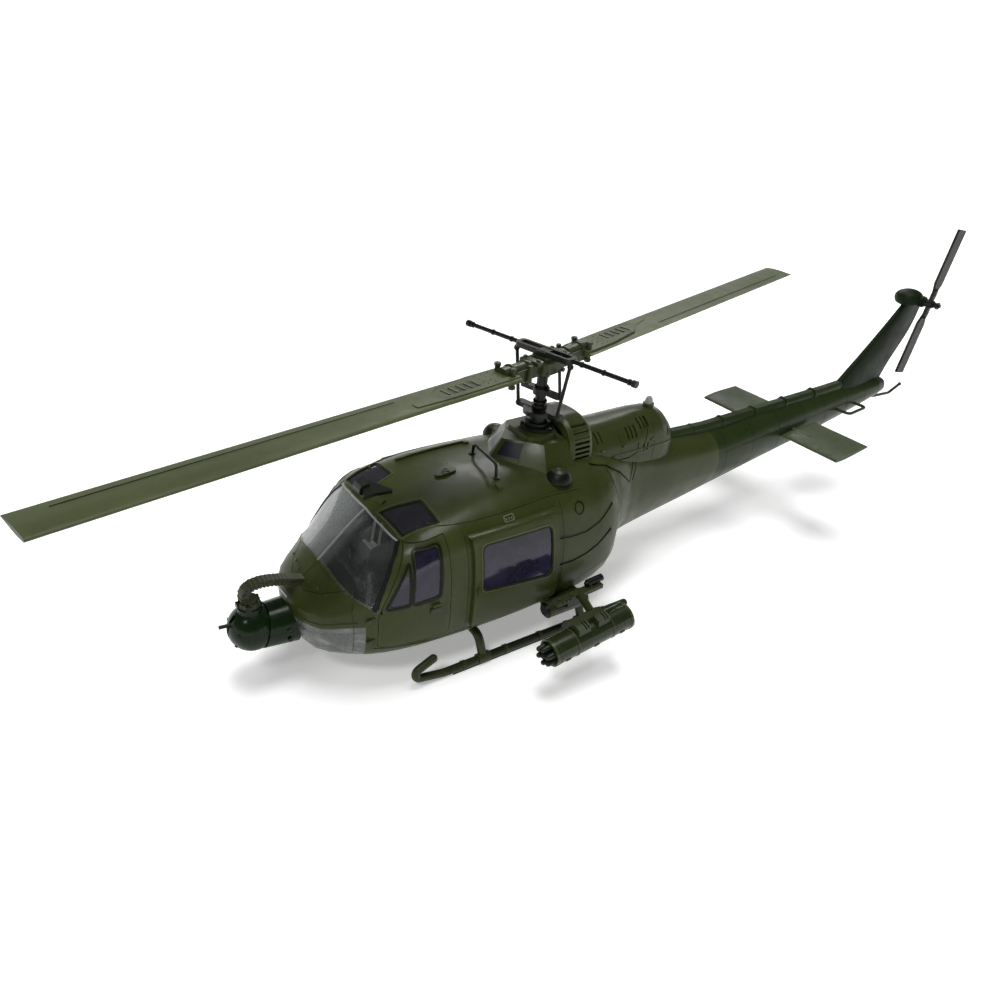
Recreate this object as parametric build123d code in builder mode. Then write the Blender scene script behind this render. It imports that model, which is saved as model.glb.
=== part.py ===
from build123d import *
import os
from math import sin, cos, tan, radians, atan2, degrees, sqrt, pi

os.makedirs("parts", exist_ok=True)

# A 1:48 scale model helicopter, in millimetres. +Z up, nose towards -Y, port side +X.
# z = 0 is the surface under the skids. Stations are given as a distance aft of the rotor mast.

# ---------------------------------------------------------------- driving dimensions
MAST_Y = -26.4          # mast axis in the model's own frame
WALL = 1.2              # thickness of the moulded fuselage shell
GLASS_IN = 0.3          # how far side glazing sits below the skin
DOOR_IN = 0.15          # gap between the fuselage side and a sliding door
DOOR_OUT = 1.0          # outer face of a sliding door, proud of the fuselage side
ROTOR_R = 137.0         # main rotor radius
ROTOR_PSI = 13.15       # direction of the forward blade, degrees from straight ahead towards port
CONING = 1.71           # upward tilt of the blades, degrees
BLADE_CHORD = 10.3
HUB_Z = 73.2
BAR_Z = 76.7
MAST_R = 1.5
TAIL_HUB = (7.8, 172.0, 71.6)   # x, station, z
TAIL_R = 26.3
TAIL_ANGLE = 80.6
SKID_X = 25.5
SKID_R = 1.15
SKID_Z = 1.35
FRONT_TUBE = -31.0
REAR_TUBE = 4.0
POD_X = 43.0
POD_R = 3.7
POD_LEN = 25.7
POD_REAR = (2.65, 15.9)  # station, z of the rear face's centre
POD_TILT = 6.6          # nose down, degrees
BALL = (-86.8, 15.7)    # station, z of the turret ball's centre
BALL_R = 6.3
STAB_Y = 112.0          # stabilizer spar station
STAB_Z = 32.6


def S(y):
    return MAST_Y + y


def P(*pts):
    return [(S(a), b) for a, b in pts]


# Lofting tables: station, half width, top z, bottom z, z of the widest point, upper and lower exponents.
FUSELAGE = [
    (-77.8, 0.90, 20.90, 18.80, 20.00, 2.20, 2.30),
    (-77.3, 4.13, 21.95, 15.81, 20.12, 2.20, 2.41),
    (-76.5, 7.36, 22.88, 12.99, 20.31, 2.20, 2.58),
    (-75.2, 10.61, 23.74, 10.35, 20.59, 2.20, 2.85),
    (-73.5, 13.41, 25.41, 8.73, 20.90, 2.20, 3.16),
    (-71, 15.67, 27.67, 7.98, 21.17, 2.20, 3.51),
    (-68, 17.96, 30.07, 7.90, 21.17, 2.20, 3.75),
    (-65, 20.04, 32.86, 7.91, 21.06, 2.22, 3.93),
    (-62, 21.70, 35.68, 8.03, 21.00, 2.25, 4.00),
    (-59, 23.01, 38.36, 8.13, 21.18, 2.52, 4.00),
    (-56, 24.00, 40.80, 8.21, 21.59, 2.92, 4.00),
    (-53.5, 24.61, 42.62, 8.26, 21.96, 3.26, 4.00),
    (-51, 25.13, 43.93, 8.30, 22.24, 3.59, 4.00),
    (-48, 25.50, 44.83, 8.30, 22.38, 3.80, 4.01),
    (-44, 25.74, 45.60, 8.29, 22.53, 3.77, 4.07),
    (-39, 25.89, 46.47, 8.27, 22.68, 3.68, 4.21),
    (-33, 25.89, 47.29, 8.24, 22.79, 3.55, 4.38),
    (-26, 25.85, 48.00, 8.21, 22.80, 3.35, 4.50),
    (-18, 25.78, 48.42, 8.21, 22.80, 3.15, 4.43),
    (-10, 25.62, 48.78, 8.36, 22.80, 2.94, 4.20),
    (-3, 25.48, 48.90, 8.59, 22.80, 2.82, 3.93),
    (3, 25.30, 48.84, 8.81, 22.88, 2.82, 3.63),
    (8, 25.00, 48.58, 9.10, 23.29, 2.88, 3.24),
    (12, 24.30, 48.00, 9.80, 23.80, 2.93, 2.90),
    (15, 22.90, 47.36, 10.06, 24.68, 2.95, 2.61),
    (18, 20.20, 46.60, 10.30, 25.92, 2.92, 2.32),
    (21, 17.60, 45.87, 10.64, 26.69, 2.85, 2.17),
    (24, 15.60, 45.20, 11.00, 27.17, 2.76, 2.08),
    (28, 13.70, 44.53, 11.46, 27.65, 2.64, 2.01),
    (33, 12.77, 43.61, 12.10, 27.97, 2.54, 1.99),
    (40, 11.99, 42.21, 13.01, 28.23, 2.42, 1.98),
    (50, 11.10, 40.52, 14.24, 28.58, 2.30, 1.96),
    (61, 10.00, 39.31, 15.53, 29.02, 2.24, 1.95),
    (72, 9.00, 38.50, 17.10, 29.50, 2.20, 1.95),
]
BOOM = [
    (72, 9.00, 38.50, 17.10, 29.50, 2.20, 1.95),
    (82, 8.44, 38.80, 18.74, 29.98, 2.18, 1.95),
    (92, 7.98, 39.40, 20.48, 30.51, 2.17, 1.95),
    (102, 7.49, 39.87, 22.11, 31.13, 2.15, 1.95),
    (112, 6.93, 40.15, 23.55, 31.88, 2.14, 1.95),
    (122, 6.35, 40.39, 24.96, 32.74, 2.13, 1.96),
    (132, 5.79, 40.67, 26.54, 33.71, 2.12, 1.96),
    (142, 5.26, 41.00, 28.40, 34.89, 2.11, 1.97),
    (152, 4.68, 41.00, 30.43, 35.95, 2.10, 1.98),
    (160, 4.20, 41.00, 32.20, 36.80, 2.10, 1.98),
    (166, 3.81, 41.00, 33.55, 37.40, 2.10, 1.99),
    (169.5, 3.20, 40.70, 34.40, 37.70, 2.10, 2.00),
    (171.2, 2.10, 39.90, 35.60, 37.80, 2.10, 2.00),
    (172.0, 0.60, 38.60, 37.10, 37.85, 2.10, 2.00),
]
# Engine cowling: station, half width, top z, widest z, bottom z, exponents
COWL = [
    (12.0, 10.2, 52.6, 34.0, 43.5, 2.1, 4.0),
    (18.0, 10.3, 52.4, 34.0, 43.5, 2.1, 4.0),
    (26.0, 10.2, 52.4, 34.0, 43.5, 2.1, 4.0),
    (33.0, 9.9, 52.6, 33.5, 43.5, 2.1, 4.0),
    (38.5, 9.4, 52.8, 33.0, 43.3, 2.1, 4.0),
    (43.5, 8.9, 52.6, 32.5, 43.0, 2.1, 4.0),
    (46.5, 8.2, 51.6, 32.0, 42.6, 2.1, 4.0),
    (48.6, 7.2, 49.4, 32.0, 42.0, 2.1, 4.0),
    (50.1, 5.9, 46.4, 32.0, 41.4, 2.1, 4.0),
    (51.1, 4.6, 43.6, 32.0, 40.4, 2.1, 4.0),
    (51.8, 3.4, 41.4, 32.0, 38.8, 2.1, 4.0),
]


def half_section(row, inset=0.0):
    # Port half of one closed section, on its own station plane: two quarter curves and the centre line.
    y, w, zt, zb, zm, nu, nl = row
    w, zt, zb = w - inset, zt - inset, zb + inset
    ku = (8 * 2 ** (-1 / nu) - 4) / 3
    kl = (8 * 2 ** (-1 / nl) - 4) / 3
    with BuildSketch(Plane.XZ.offset(-S(y))) as sk:
        with BuildLine():
            Bezier((0, zt), (ku * w, zt), (w, zm + ku * (zt - zm)), (w, zm))
            Bezier((w, zm), (w, zm - kl * (zm - zb)), (kl * w, zb), (0, zb))
            Line((0, zb), (0, zt))
        make_face()
    return sk.sketch.faces()[0]


def side(pts, x0=0.0, r=0.0):
    # Outline drawn in the side view (station, z) on the plane x = x0.
    with BuildSketch(Plane.YZ.offset(x0)) as sk:
        with BuildLine():
            Polyline(*P(*pts), close=True)
        make_face()
        if r:
            fillet(sk.vertices(), r)
    return sk.sketch


def front(pts, station, r=0.0):
    # Outline drawn in the front view (x, z) on a station plane; extrudes towards the nose.
    with BuildSketch(Plane.XZ.offset(-S(station))) as sk:
        with BuildLine():
            Polyline(*pts, close=True)
        make_face()
        if r:
            fillet(sk.vertices(), r)
    return sk.sketch


def top(pts, z, r=0.0):
    # Outline drawn in plan (x, station).
    with BuildSketch(Plane.XY.offset(z)) as sk:
        with BuildLine():
            Polyline(*[(x, S(y)) for x, y in pts], close=True)
        make_face()
        if r:
            fillet(sk.vertices(), r)
    return sk.sketch


def rounded(x, y, dx, dy, z, r):
    with BuildSketch(Plane.XY.offset(z)) as sk:
        with Locations((x, S(y))):
            RectangleRounded(dx, dy, r)
    return sk.sketch.faces()[0]


def disc(plane, radius, hole=0.0):
    with BuildSketch(plane) as sk:
        Circle(radius)
        if hole:
            Circle(hole, mode=Mode.SUBTRACT)
    return sk.sketch


def rod_plane(a, b):
    # Plane at a, looking at b; and the distance between them.
    va, vb = Vector(*a), Vector(*b)
    return Plane(origin=va, z_dir=(vb - va)), (vb - va).length


def band(line, half):
    # Closed outline of a constant-width band along a polyline in the side view.
    out, back = [], []
    n = len(line)
    for i, (y, z) in enumerate(line):
        y0, z0 = line[max(i - 1, 0)]
        y1, z1 = line[min(i + 1, n - 1)]
        l = sqrt((y1 - y0) ** 2 + (z1 - z0) ** 2)
        ny, nz = -(z1 - z0) / l, (y1 - y0) / l
        out.append((y + ny * half, z + nz * half))
        back.append((y - ny * half, z - nz * half))
    return out + back[::-1]


# ---------------------------------------------------------------- reference forms
with BuildPart() as form_l:
    loft([half_section(r) for r in FUSELAGE], ruled=True)
with BuildPart() as form_r:
    mirror(form_l.part, about=Plane.YZ)
with BuildPart() as form_in:
    loft([half_section(r, WALL) for r in FUSELAGE if r[0] > -77], ruled=True)
with BuildPart() as form_groove:
    loft([half_section(r, GLASS_IN) for r in FUSELAGE if r[0] > -77.5], ruled=True)
with BuildPart() as form_lining:
    loft([half_section(r, WALL + 0.35) for r in FUSELAGE if r[0] > -77], ruled=True)
with BuildPart() as boom_form:
    loft([half_section(r) for r in BOOM], ruled=True)
with BuildPart() as boom_in:
    loft([half_section(r, 1.0) for r in BOOM if r[0] < 165], ruled=True)
DOOR_ROWS = [r for r in FUSELAGE if -45 < r[0] < 5]
with BuildPart() as door_outer:
    loft([half_section(r, -DOOR_OUT) for r in DOOR_ROWS], ruled=True)
with BuildPart() as door_inner:
    loft([half_section(r, -DOOR_IN) for r in DOOR_ROWS], ruled=True)
with BuildPart() as door_glass_outer:
    loft([half_section(r, -0.72) for r in DOOR_ROWS], ruled=True)
with BuildPart() as door_glass_inner:
    loft([half_section(r, -0.25) for r in DOOR_ROWS], ruled=True)
with BuildPart() as rail_form:
    loft([half_section(r, -1.15) for r in DOOR_ROWS], ruled=True)
with BuildPart() as cowl_form_l:
    loft([half_section((y, w, zt, zb, zm, nu, nl)) for y, w, zt, zb, zm, nu, nl in COWL], ruled=True)
with BuildPart() as cowl_groove_l:
    loft([half_section((y, w, zt, zb, zm, nu, nl), 0.5) for y, w, zt, zb, zm, nu, nl in COWL], ruled=True)

# ---------------------------------------------------------------- outlines on the fuselage side
CREW_OPEN = [(-52.5, 41.3), (-60.4, 26.6), (-61.6, 23.4), (-61.7, 15.2), (-60.7, 14.3), (-43.9, 14.9), (-42.8, 16.0), (-42.8, 42.9)]
CREW_DOOR = [(-52.35, 41.15), (-60.25, 26.55), (-61.45, 23.4), (-61.55, 15.3), (-60.6, 14.45), (-43.95, 15.05), (-42.95, 16.05), (-42.95, 42.7)]
CREW_TRI = [(-53.3, 36.6), (-54.2, 27.3), (-58.9, 26.6)]
CREW_WIN = [(-51.3, 40.1), (-45.3, 41.0), (-46.2, 28.0), (-52.9, 27.3)]
CABIN_OPEN = [(-34.9, 39.4), (-10.4, 39.4), (-10.0, 16.6), (-34.9, 16.6)]
CABIN_DOOR = [(-36.4, 41.1), (-9.1, 41.1), (-8.7, 24.0), (-8.5, 16.0), (-9.5, 15.0), (-36.4, 15.0)]
CABIN_WIN = [(-33.7, 38.8), (-11.7, 38.2), (-11.2, 23.8), (-33.7, 26.2)]
SCREEN = [(-0.1, 30.0), (5.5, 29.8), (11.5, 28.8), (16.8, 27.3), (21.35, 25.3), (20.6, 30.5), (19.6, 35.0), (18.1, 38.9), (16.3, 41.3), (10.0, 42.1), (-0.1, 42.5)]
SCREEN_CLEAR = [(-0.1, 29.5), (22.0, 24.9), (20.78, 30.5), (19.78, 35.05), (18.27, 38.98), (16.42, 41.5), (10.05, 42.3), (-0.1, 42.7)]
CHIN = [(-64.3, 21.3), (-68.5, 20.6), (-72.4, 19.5), (-78.5, 18.6), (-78.5, 13.0), (-76.0, 11.4), (-73.0, 10.0), (-69.5, 9.5), (-64.3, 9.7)]
ROOF_WIN = [(4.7, -52.5), (15.9, -51.9), (17.6, -42.4), (7.8, -42.4)]
SLOT_1 = [(-9.0, 33.6), (-3.9, 32.9), (1.4, 32.8), (6.3, 34.3), (9.6, 36.4), (11.9, 38.0)]
SLOT_2 = [(-7.5, 25.0), (-2.8, 24.9), (2.2, 25.7), (6.2, 27.3), (9.1, 29.2), (11.3, 30.6)]
ARC = [(9.2, 46.6), (15.3, 45.0), (21.8, 40.9), (27.1, 36.1)]
VEE_1 = [(27.1, 36.1), (33.5, 44.5)]
VEE_2 = [(28.9, 36.1), (35.2, 44.5)]

# Tools for the openings and engraved lines, port side
with BuildPart() as tool_openings:
    extrude(side(CREW_OPEN, 14), amount=20)
    extrude(side(CABIN_OPEN, 14, 1.6), amount=20)
    extrude(side(CHIN, 5.0), amount=25)
    extrude(front(SCREEN, -50.5), amount=25)
    extrude(top(ROOF_WIN, 38.5), amount=12)
with BuildPart() as tool_lines:
    extrude(side(band(SLOT_1, 0.42), 14), amount=20)
    extrude(side(band(SLOT_2, 0.42), 14), amount=20)
    extrude(side(band([(14.2, 45.2), (15.4, 38.0), (14.9, 31.0), (12.6, 22.5), (8.8, 16.5)], 0.12), 12), amount=20)
    extrude(side(band(ARC, 0.22), 6), amount=20)
    extrude(side(band(VEE_1, 0.22), 6), amount=20)
    extrude(side(band(VEE_2, 0.22), 6), amount=20)
    extrude(side(band([(-62.3, 14.1), (-45.0, 13.4), (8.0, 13.4)], 0.14), 14), amount=20)
    with BuildSketch(Plane.YZ.offset(14)):
        with Locations((S(-0.4), 39.6)):
            Circle(1.7)
            Circle(1.25, mode=Mode.SUBTRACT)
    extrude(amount=20)
    add(form_groove.part, mode=Mode.SUBTRACT)

# ---------------------------------------------------------------- fuselage shell, split on the centre plane
with BuildPart() as fuselage_left:
    add(form_l.part)
    add(form_in.part, mode=Mode.SUBTRACT)
    add(tool_openings.part, mode=Mode.SUBTRACT)
    add(tool_lines.part, mode=Mode.SUBTRACT)
with BuildPart() as fuselage_right:
    mirror(fuselage_left.part, about=Plane.YZ)

# Windscreen: one clear moulding with a centre post
with BuildPart() as screen_half:
    add(form_l.part)
    add(form_in.part, mode=Mode.SUBTRACT)
    extrude(front(SCREEN, -50.5), amount=25, mode=Mode.INTERSECT)
with BuildPart() as windscreen:
    add(screen_half.part)
    mirror(screen_half.part, about=Plane.YZ)

with BuildPart() as chin_half:
    add(form_l.part)
    add(form_in.part, mode=Mode.SUBTRACT)
    extrude(side(CHIN, 5.0), amount=25, mode=Mode.INTERSECT)
with BuildPart() as chin_windows:
    add(chin_half.part)
    mirror(chin_half.part, about=Plane.YZ)

with BuildPart() as roof_glass_half:
    add(form_groove.part)
    add(form_in.part, mode=Mode.SUBTRACT)
    extrude(top(ROOF_WIN, 38.5), amount=12, mode=Mode.INTERSECT)
    extrude(front(SCREEN, -50.5), amount=25, mode=Mode.SUBTRACT)
with BuildPart() as roof_windows:
    add(roof_glass_half.part)
    mirror(roof_glass_half.part, about=Plane.YZ)

# ---------------------------------------------------------------- crew doors (hinged at their front edge)
with BuildPart() as crew_door_left:
    add(form_l.part)
    add(form_in.part, mode=Mode.SUBTRACT)
    extrude(side(CREW_DOOR, 14.2), amount=20, mode=Mode.INTERSECT)
    extrude(front(SCREEN_CLEAR, -50.0), amount=25, mode=Mode.SUBTRACT)
    extrude(side(CREW_TRI, 14, 0.5), amount=20, mode=Mode.SUBTRACT)
    extrude(side(CREW_WIN, 14, 0.9), amount=20, mode=Mode.SUBTRACT)
    extrude(side([(-48.4, 25.5), (-46.0, 25.5), (-46.0, 26.1), (-48.4, 26.1)], 25.0), amount=1.3)
with BuildPart() as crew_door_right:
    mirror(crew_door_left.part, about=Plane.YZ)
with BuildPart() as crew_glass_tool:
    extrude(side(CREW_TRI, 14, 0.5), amount=20)
    extrude(side(CREW_WIN, 14, 0.9), amount=20)
with BuildPart() as crew_door_glass_left:
    add(form_groove.part)
    add(form_in.part, mode=Mode.SUBTRACT)
    add(crew_glass_tool.part, mode=Mode.INTERSECT)
with BuildPart() as crew_door_glass_right:
    mirror(crew_door_glass_left.part, about=Plane.YZ)

# ---------------------------------------------------------------- cabin doors (slide aft outside the shell)
with BuildPart() as cabin_door_left:
    add(door_outer.part)
    add(door_inner.part, mode=Mode.SUBTRACT)
    extrude(side(CABIN_DOOR, 14), amount=20, mode=Mode.INTERSECT)
    extrude(side(CABIN_WIN, 14, 1.8), amount=20, mode=Mode.SUBTRACT)
    extrude(side([(-35.5, 25.3), (-34.9, 25.3), (-34.9, 27.6), (-35.5, 27.6)], 26.6), amount=0.7)
with BuildPart() as cabin_door_right:
    mirror(cabin_door_left.part, about=Plane.YZ)
with BuildPart() as cabin_door_glass_left:
    add(door_glass_outer.part)
    add(door_glass_inner.part, mode=Mode.SUBTRACT)
    extrude(side(CABIN_WIN, 14, 1.8), amount=20, mode=Mode.INTERSECT)
with BuildPart() as cabin_door_glass_right:
    mirror(cabin_door_glass_left.part, about=Plane.YZ)

# Rails that carry the cabin doors
with BuildPart() as rail_half:
    extrude(side([(-37.0, 41.25), (-37.0, 41.75), (-8.2, 41.75), (-8.2, 41.25)], 14), amount=15)
    add(rail_form.part, mode=Mode.INTERSECT)
    add(form_l.part, mode=Mode.SUBTRACT)
with BuildPart() as door_rails:
    add(rail_half.part)
    mirror(rail_half.part, about=Plane.YZ)

# ---------------------------------------------------------------- cabin interior
with BuildPart() as floor_half:
    extrude(top([(0, -70), (26, -70), (26, 1.5), (0, 1.5)], 14.6), amount=1.0)
    add(form_lining.part, mode=Mode.INTERSECT)
with BuildPart() as keel_half:
    extrude(top([(7, -66), (9, -66), (9, 1.5), (7, 1.5)], 7), amount=7.6)
    add(form_in.part, mode=Mode.INTERSECT)
with BuildPart() as cockpit_floor:
    add(floor_half.part)
    mirror(floor_half.part, about=Plane.YZ)
    add(keel_half.part)
    mirror(keel_half.part, about=Plane.YZ)

with BuildPart() as bulkhead_half:
    extrude(front([(0, 5), (30, 5), (30, 50), (0, 50)], 2.7), amount=1.2)
    add(form_in.part, mode=Mode.INTERSECT)
with BuildPart() as rear_bulkhead:
    add(bulkhead_half.part)
    mirror(bulkhead_half.part, about=Plane.YZ)

SEAT = [(-52.5, 15.6), (-43.5, 15.6), (-41.2, 33.5), (-43.2, 34.0), (-45.0, 21.8), (-51.5, 21.0), (-52.5, 19.6)]
with BuildPart() as seat_half:
    extrude(side(SEAT, 6.6), amount=8.4)
    fillet(seat_half.edges().filter_by(Axis.X), 0.35)
    extrude(side([(-43.1, 33.6), (-41.5, 33.6), (-41.1, 37.6), (-42.9, 37.9)], 8.4), amount=4.8)
    extrude(side([(-50.5, 19.5), (-44.6, 21.0), (-44.2, 25.0), (-49.5, 23.6)], 6.0), amount=0.7)
    extrude(side([(-50.5, 19.5), (-44.6, 21.0), (-44.2, 25.0), (-49.5, 23.6)], 14.9), amount=0.7)
with BuildPart() as crew_seats:
    add(seat_half.part)
    mirror(seat_half.part, about=Plane.YZ)

with BuildPart() as bench_seat:
    extrude(side([(-9.0, 19.5), (1.5, 19.5), (1.5, 34.0), (-0.6, 34.0), (-1.6, 22.8), (-9.0, 22.8)], -18), amount=36)
    fillet(bench_seat.edges().filter_by(Axis.X), 0.45)
    for x in (-15, -5, 5, 15):
        extrude(side([(-8.4, 15.6), (-7.6, 15.6), (-7.6, 19.6), (-8.4, 19.6)], x - 0.4), amount=0.8)

with BuildPart() as instrument_panel:
    extrude(front([(-13, 20.8), (13, 20.8), (13.0, 26.4), (9.5, 28.6), (-9.5, 28.6), (-13, 26.4)], -60.6, 0.8), amount=1.6)
    extrude(front([(-2.6, 15.6), (2.6, 15.6), (2.6, 22.5), (-2.6, 22.5)], -60.6), amount=1.6)
    for x in (-10.2, -6.6, 6.6, 10.2):
        for z in (23.0, 26.0):
            extrude(disc(Plane(origin=(x, S(-60.6), z), z_dir=(0, 1, 0)), 1.15), amount=0.3)

with BuildPart() as centre_console:
    extrude(side([(-60.5, 15.6), (-45.5, 15.6), (-45.5, 18.8), (-57.5, 19.8), (-60.5, 22.0)], -2.4), amount=4.8)
    fillet(centre_console.edges().filter_by(Axis.Z), 0.3)

with BuildPart() as stick_half:
    pl, ln = rod_plane((10.8, S(-54.5), 15.6), (10.8, S(-52.8), 21.5))
    extrude(disc(pl, 0.4), amount=ln)
    pl, ln = rod_plane((10.8, S(-52.8), 21.5), (10.8, S(-53.5), 24.5))
    extrude(disc(pl, 0.62), amount=ln)
    with Locations((10.8, S(-52.8), 21.5)):
        Sphere(0.62)
with BuildPart() as control_sticks:
    add(stick_half.part)
    mirror(stick_half.part, about=Plane.YZ)
    add(cockpit_floor.part, mode=Mode.SUBTRACT)

# ---------------------------------------------------------------- pylon, intake, engine
PYL_LOW = [(0, -18.2), (1.5, -17.9), (9.6, -13.8), (15.2, -6.6), (14.6, 4.0)]
PYL_TOP = [(0, -11.9), (0.9, -11.6), (5.1, -7.4), (9.0, -4.2), (9.2, 4.0)]


def mirrored(pts):
    return pts + [(-x, y) for x, y in pts[::-1] if x > 0]


with BuildPart() as pylon_raw:
    loft([top(mirrored(PYL_LOW), 45.0).faces()[0], top(mirrored(PYL_TOP), 53.4).faces()[0]], ruled=True)
    loft([rounded(0, -1.6, 13.6, 11.2, 53.4, 3.2), rounded(0, -1.6, 12.4, 10.0, 54.5, 2.6)], ruled=True)
with BuildPart() as pylon_back:
    add(pylon_raw.part.moved(Location((0, 0.55, 0))))
with BuildPart() as glaze_cut:
    extrude(front([(1.35, 49.5), (6.7, 49.5), (5.0, 52.9), (1.2, 52.9)], -6.0), amount=14)
    extrude(front([(-1.35, 49.5), (-6.7, 49.5), (-5.0, 52.9), (-1.2, 52.9)], -6.0), amount=14)
    add(pylon_back.part, mode=Mode.SUBTRACT)
with BuildPart() as pylon_fairing:
    add(pylon_raw.part)
    add(glaze_cut.part, mode=Mode.SUBTRACT)
    add(form_l.part, mode=Mode.SUBTRACT)
    add(form_r.part, mode=Mode.SUBTRACT)
    extrude(disc(Plane(origin=(0, S(0), 40)), MAST_R + 0.05), amount=20, mode=Mode.SUBTRACT)
with BuildPart() as pylon_glazing:
    add(pylon_raw.part)
    add(glaze_cut.part, mode=Mode.INTERSECT)

RING = [(y, w, zt, 36.0, 47.0, 2.7, 4.0) for y, w, zt in ((4.0, 11.0, 57.9), (5.2, 11.6, 58.5), (10.8, 11.6, 58.5), (12.0, 11.0, 57.9))]
with BuildPart() as ring_half:
    loft([half_section(r) for r in RING], ruled=True)
    loft([half_section(r, 2.4) for r in RING], ruled=True, mode=Mode.SUBTRACT)
    for i in range(8):
        zz = 46.6 + 1.42 * i
        dx = 0.0 if i < 6 else (1.0 if i == 6 else 2.6)
        with BuildSketch(Plane.YZ.offset(10.35 - dx)):
            with Locations((S(8.0), zz)):
                SlotOverall(5.4, 0.78)
        extrude(amount=4, mode=Mode.SUBTRACT)
with BuildPart() as intake_ring:
    add(ring_half.part)
    mirror(ring_half.part, about=Plane.YZ)
    add(form_l.part, mode=Mode.SUBTRACT)
    add(form_r.part, mode=Mode.SUBTRACT)

with BuildPart() as cowl_lines:
    for y0, z0, h, n in ((16.2, 48.8, 2.4, 2), (28.0, 48.0, 2.8, 3), (33.8, 49.6, 2.6, 3), (34.0, 43.2, 2.4, 2), (45.4, 45.6, 2.4, 2)):
        for i in range(n):
            extrude(side([(y0 + 1.6 * i, z0), (y0 + 0.55 + 1.6 * i, z0), (y0 + 0.75 + 1.6 * i, z0 + h), (y0 + 0.2 + 1.6 * i, z0 + h)], 4), amount=10)
    extrude(side(band([(20.5, 44.6), (23.5, 42.9), (28.5, 42.6), (31.5, 43.6), (31.9, 46.4)], 0.2), 4), amount=10)
    extrude(side(band([(33.0, 43.6), (36.4, 48.5), (37.4, 54.0)], 0.2), 4), amount=10)
    add(cowl_groove_l.part, mode=Mode.SUBTRACT)
with BuildPart() as cowl_half:
    add(cowl_form_l.part)
    add(cowl_lines.part, mode=Mode.SUBTRACT)
    add(form_l.part, mode=Mode.SUBTRACT)
with BuildPart() as engine_cowl:
    add(cowl_half.part)
    mirror(cowl_half.part, about=Plane.YZ)
    extrude(disc(Plane(origin=(0, S(44.4), 43.9), z_dir=(0, 1, 0)), 2.6), amount=14, mode=Mode.SUBTRACT)
    extrude(disc(Plane(origin=(0, S(43.3), 50.8)), 1.2), amount=10, mode=Mode.SUBTRACT)
    extrude(disc(Plane(origin=(0, S(43.3), 51.6)), 1.75, 1.2), amount=1.9)

with BuildPart() as exhaust_pipe:
    extrude(disc(Plane(origin=(0, S(44.4), 43.9), z_dir=(0, 1, 0)), 2.6), amount=6.9)
    extrude(disc(Plane(origin=(0, S(45.4), 43.9), z_dir=(0, 1, 0)), 2.15), amount=9, mode=Mode.SUBTRACT)

with BuildPart() as beacon:
    with BuildSketch(Plane.YZ):
        with BuildLine():
            Polyline((S(43.3), 50.8), (S(44.5), 50.8), (S(44.5), 54.4), (S(44.3), 55.1), (S(43.9), 55.6), (S(43.3), 55.8), close=True)
        make_face()
    revolve(axis=Axis((0, S(43.3), 0), (0, 0, 1)))
    add(engine_cowl.part, mode=Mode.SUBTRACT)

with BuildPart() as blister_half:
    with Locations((15.4, S(-3.1), 45.4)):
        Sphere(3.8)
    add(form_l.part, mode=Mode.SUBTRACT)
    add(pylon_fairing.part, mode=Mode.SUBTRACT)
    extrude(side([(0.9, 40), (9, 40), (9, 60), (0.9, 60)], 5), amount=20, mode=Mode.SUBTRACT)
    extrude(side([(-12, 38), (9, 38), (9, 45.9), (-12, 45.9)], 5), amount=20, mode=Mode.SUBTRACT)
with BuildPart() as air_blisters:
    add(blister_half.part)
    mirror(blister_half.part, about=Plane.YZ)

# ---------------------------------------------------------------- roof equipment
with BuildPart() as roof_scoop:
    extrude(top([(1.0, -46.0), (-9.2, -49.6), (-3.2, -53.4)], 42.0, 0.4), amount=4.5)
    extrude(side([(-53.6, 40), (-46, 40), (-46, 46.1), (-53.6, 44.2)], -12), amount=20, mode=Mode.INTERSECT)
    extrude(side([(-53.2, 41.5), (-50.2, 41.5), (-50.2, 45.9), (-52.6, 45.5), (-53.2, 44.5)], -9.4), amount=4.0)
    add(form_l.part, mode=Mode.SUBTRACT)
    add(form_r.part, mode=Mode.SUBTRACT)

with BuildPart() as roof_band:
    loft([half_section(r, -0.65) for r in FUSELAGE if -60 < r[0] < 5], ruled=True)
    mirror(about=Plane.YZ)
with BuildPart() as roof_fittings:
    with BuildSketch(Plane.XY.offset(40.0)):
        with Locations((1.2, S(-30.9))):
            SlotOverall(6.4, 2.4, rotation=90)
    extrude(amount=12.0)
    extrude(top([(-14.3, -38.0), (-13.3, -38.0), (-11.9, -17.3), (-10.3, -16.9), (-10.3, -16.0), (-12.7, -16.0)], 40.0), amount=12)
    extrude(top([(12.7, -22.5), (14.6, -22.5), (14.6, -21.3), (12.7, -21.3)], 40.0), amount=12)
    extrude(top([(-0.5, -51.9), (2.9, -50.9), (2.6, -49.5), (-0.8, -50.5)], 40.0), amount=12)
    add(roof_band.part, mode=Mode.INTERSECT)
    add(form_l.part, mode=Mode.SUBTRACT)
    add(form_r.part, mode=Mode.SUBTRACT)

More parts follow.
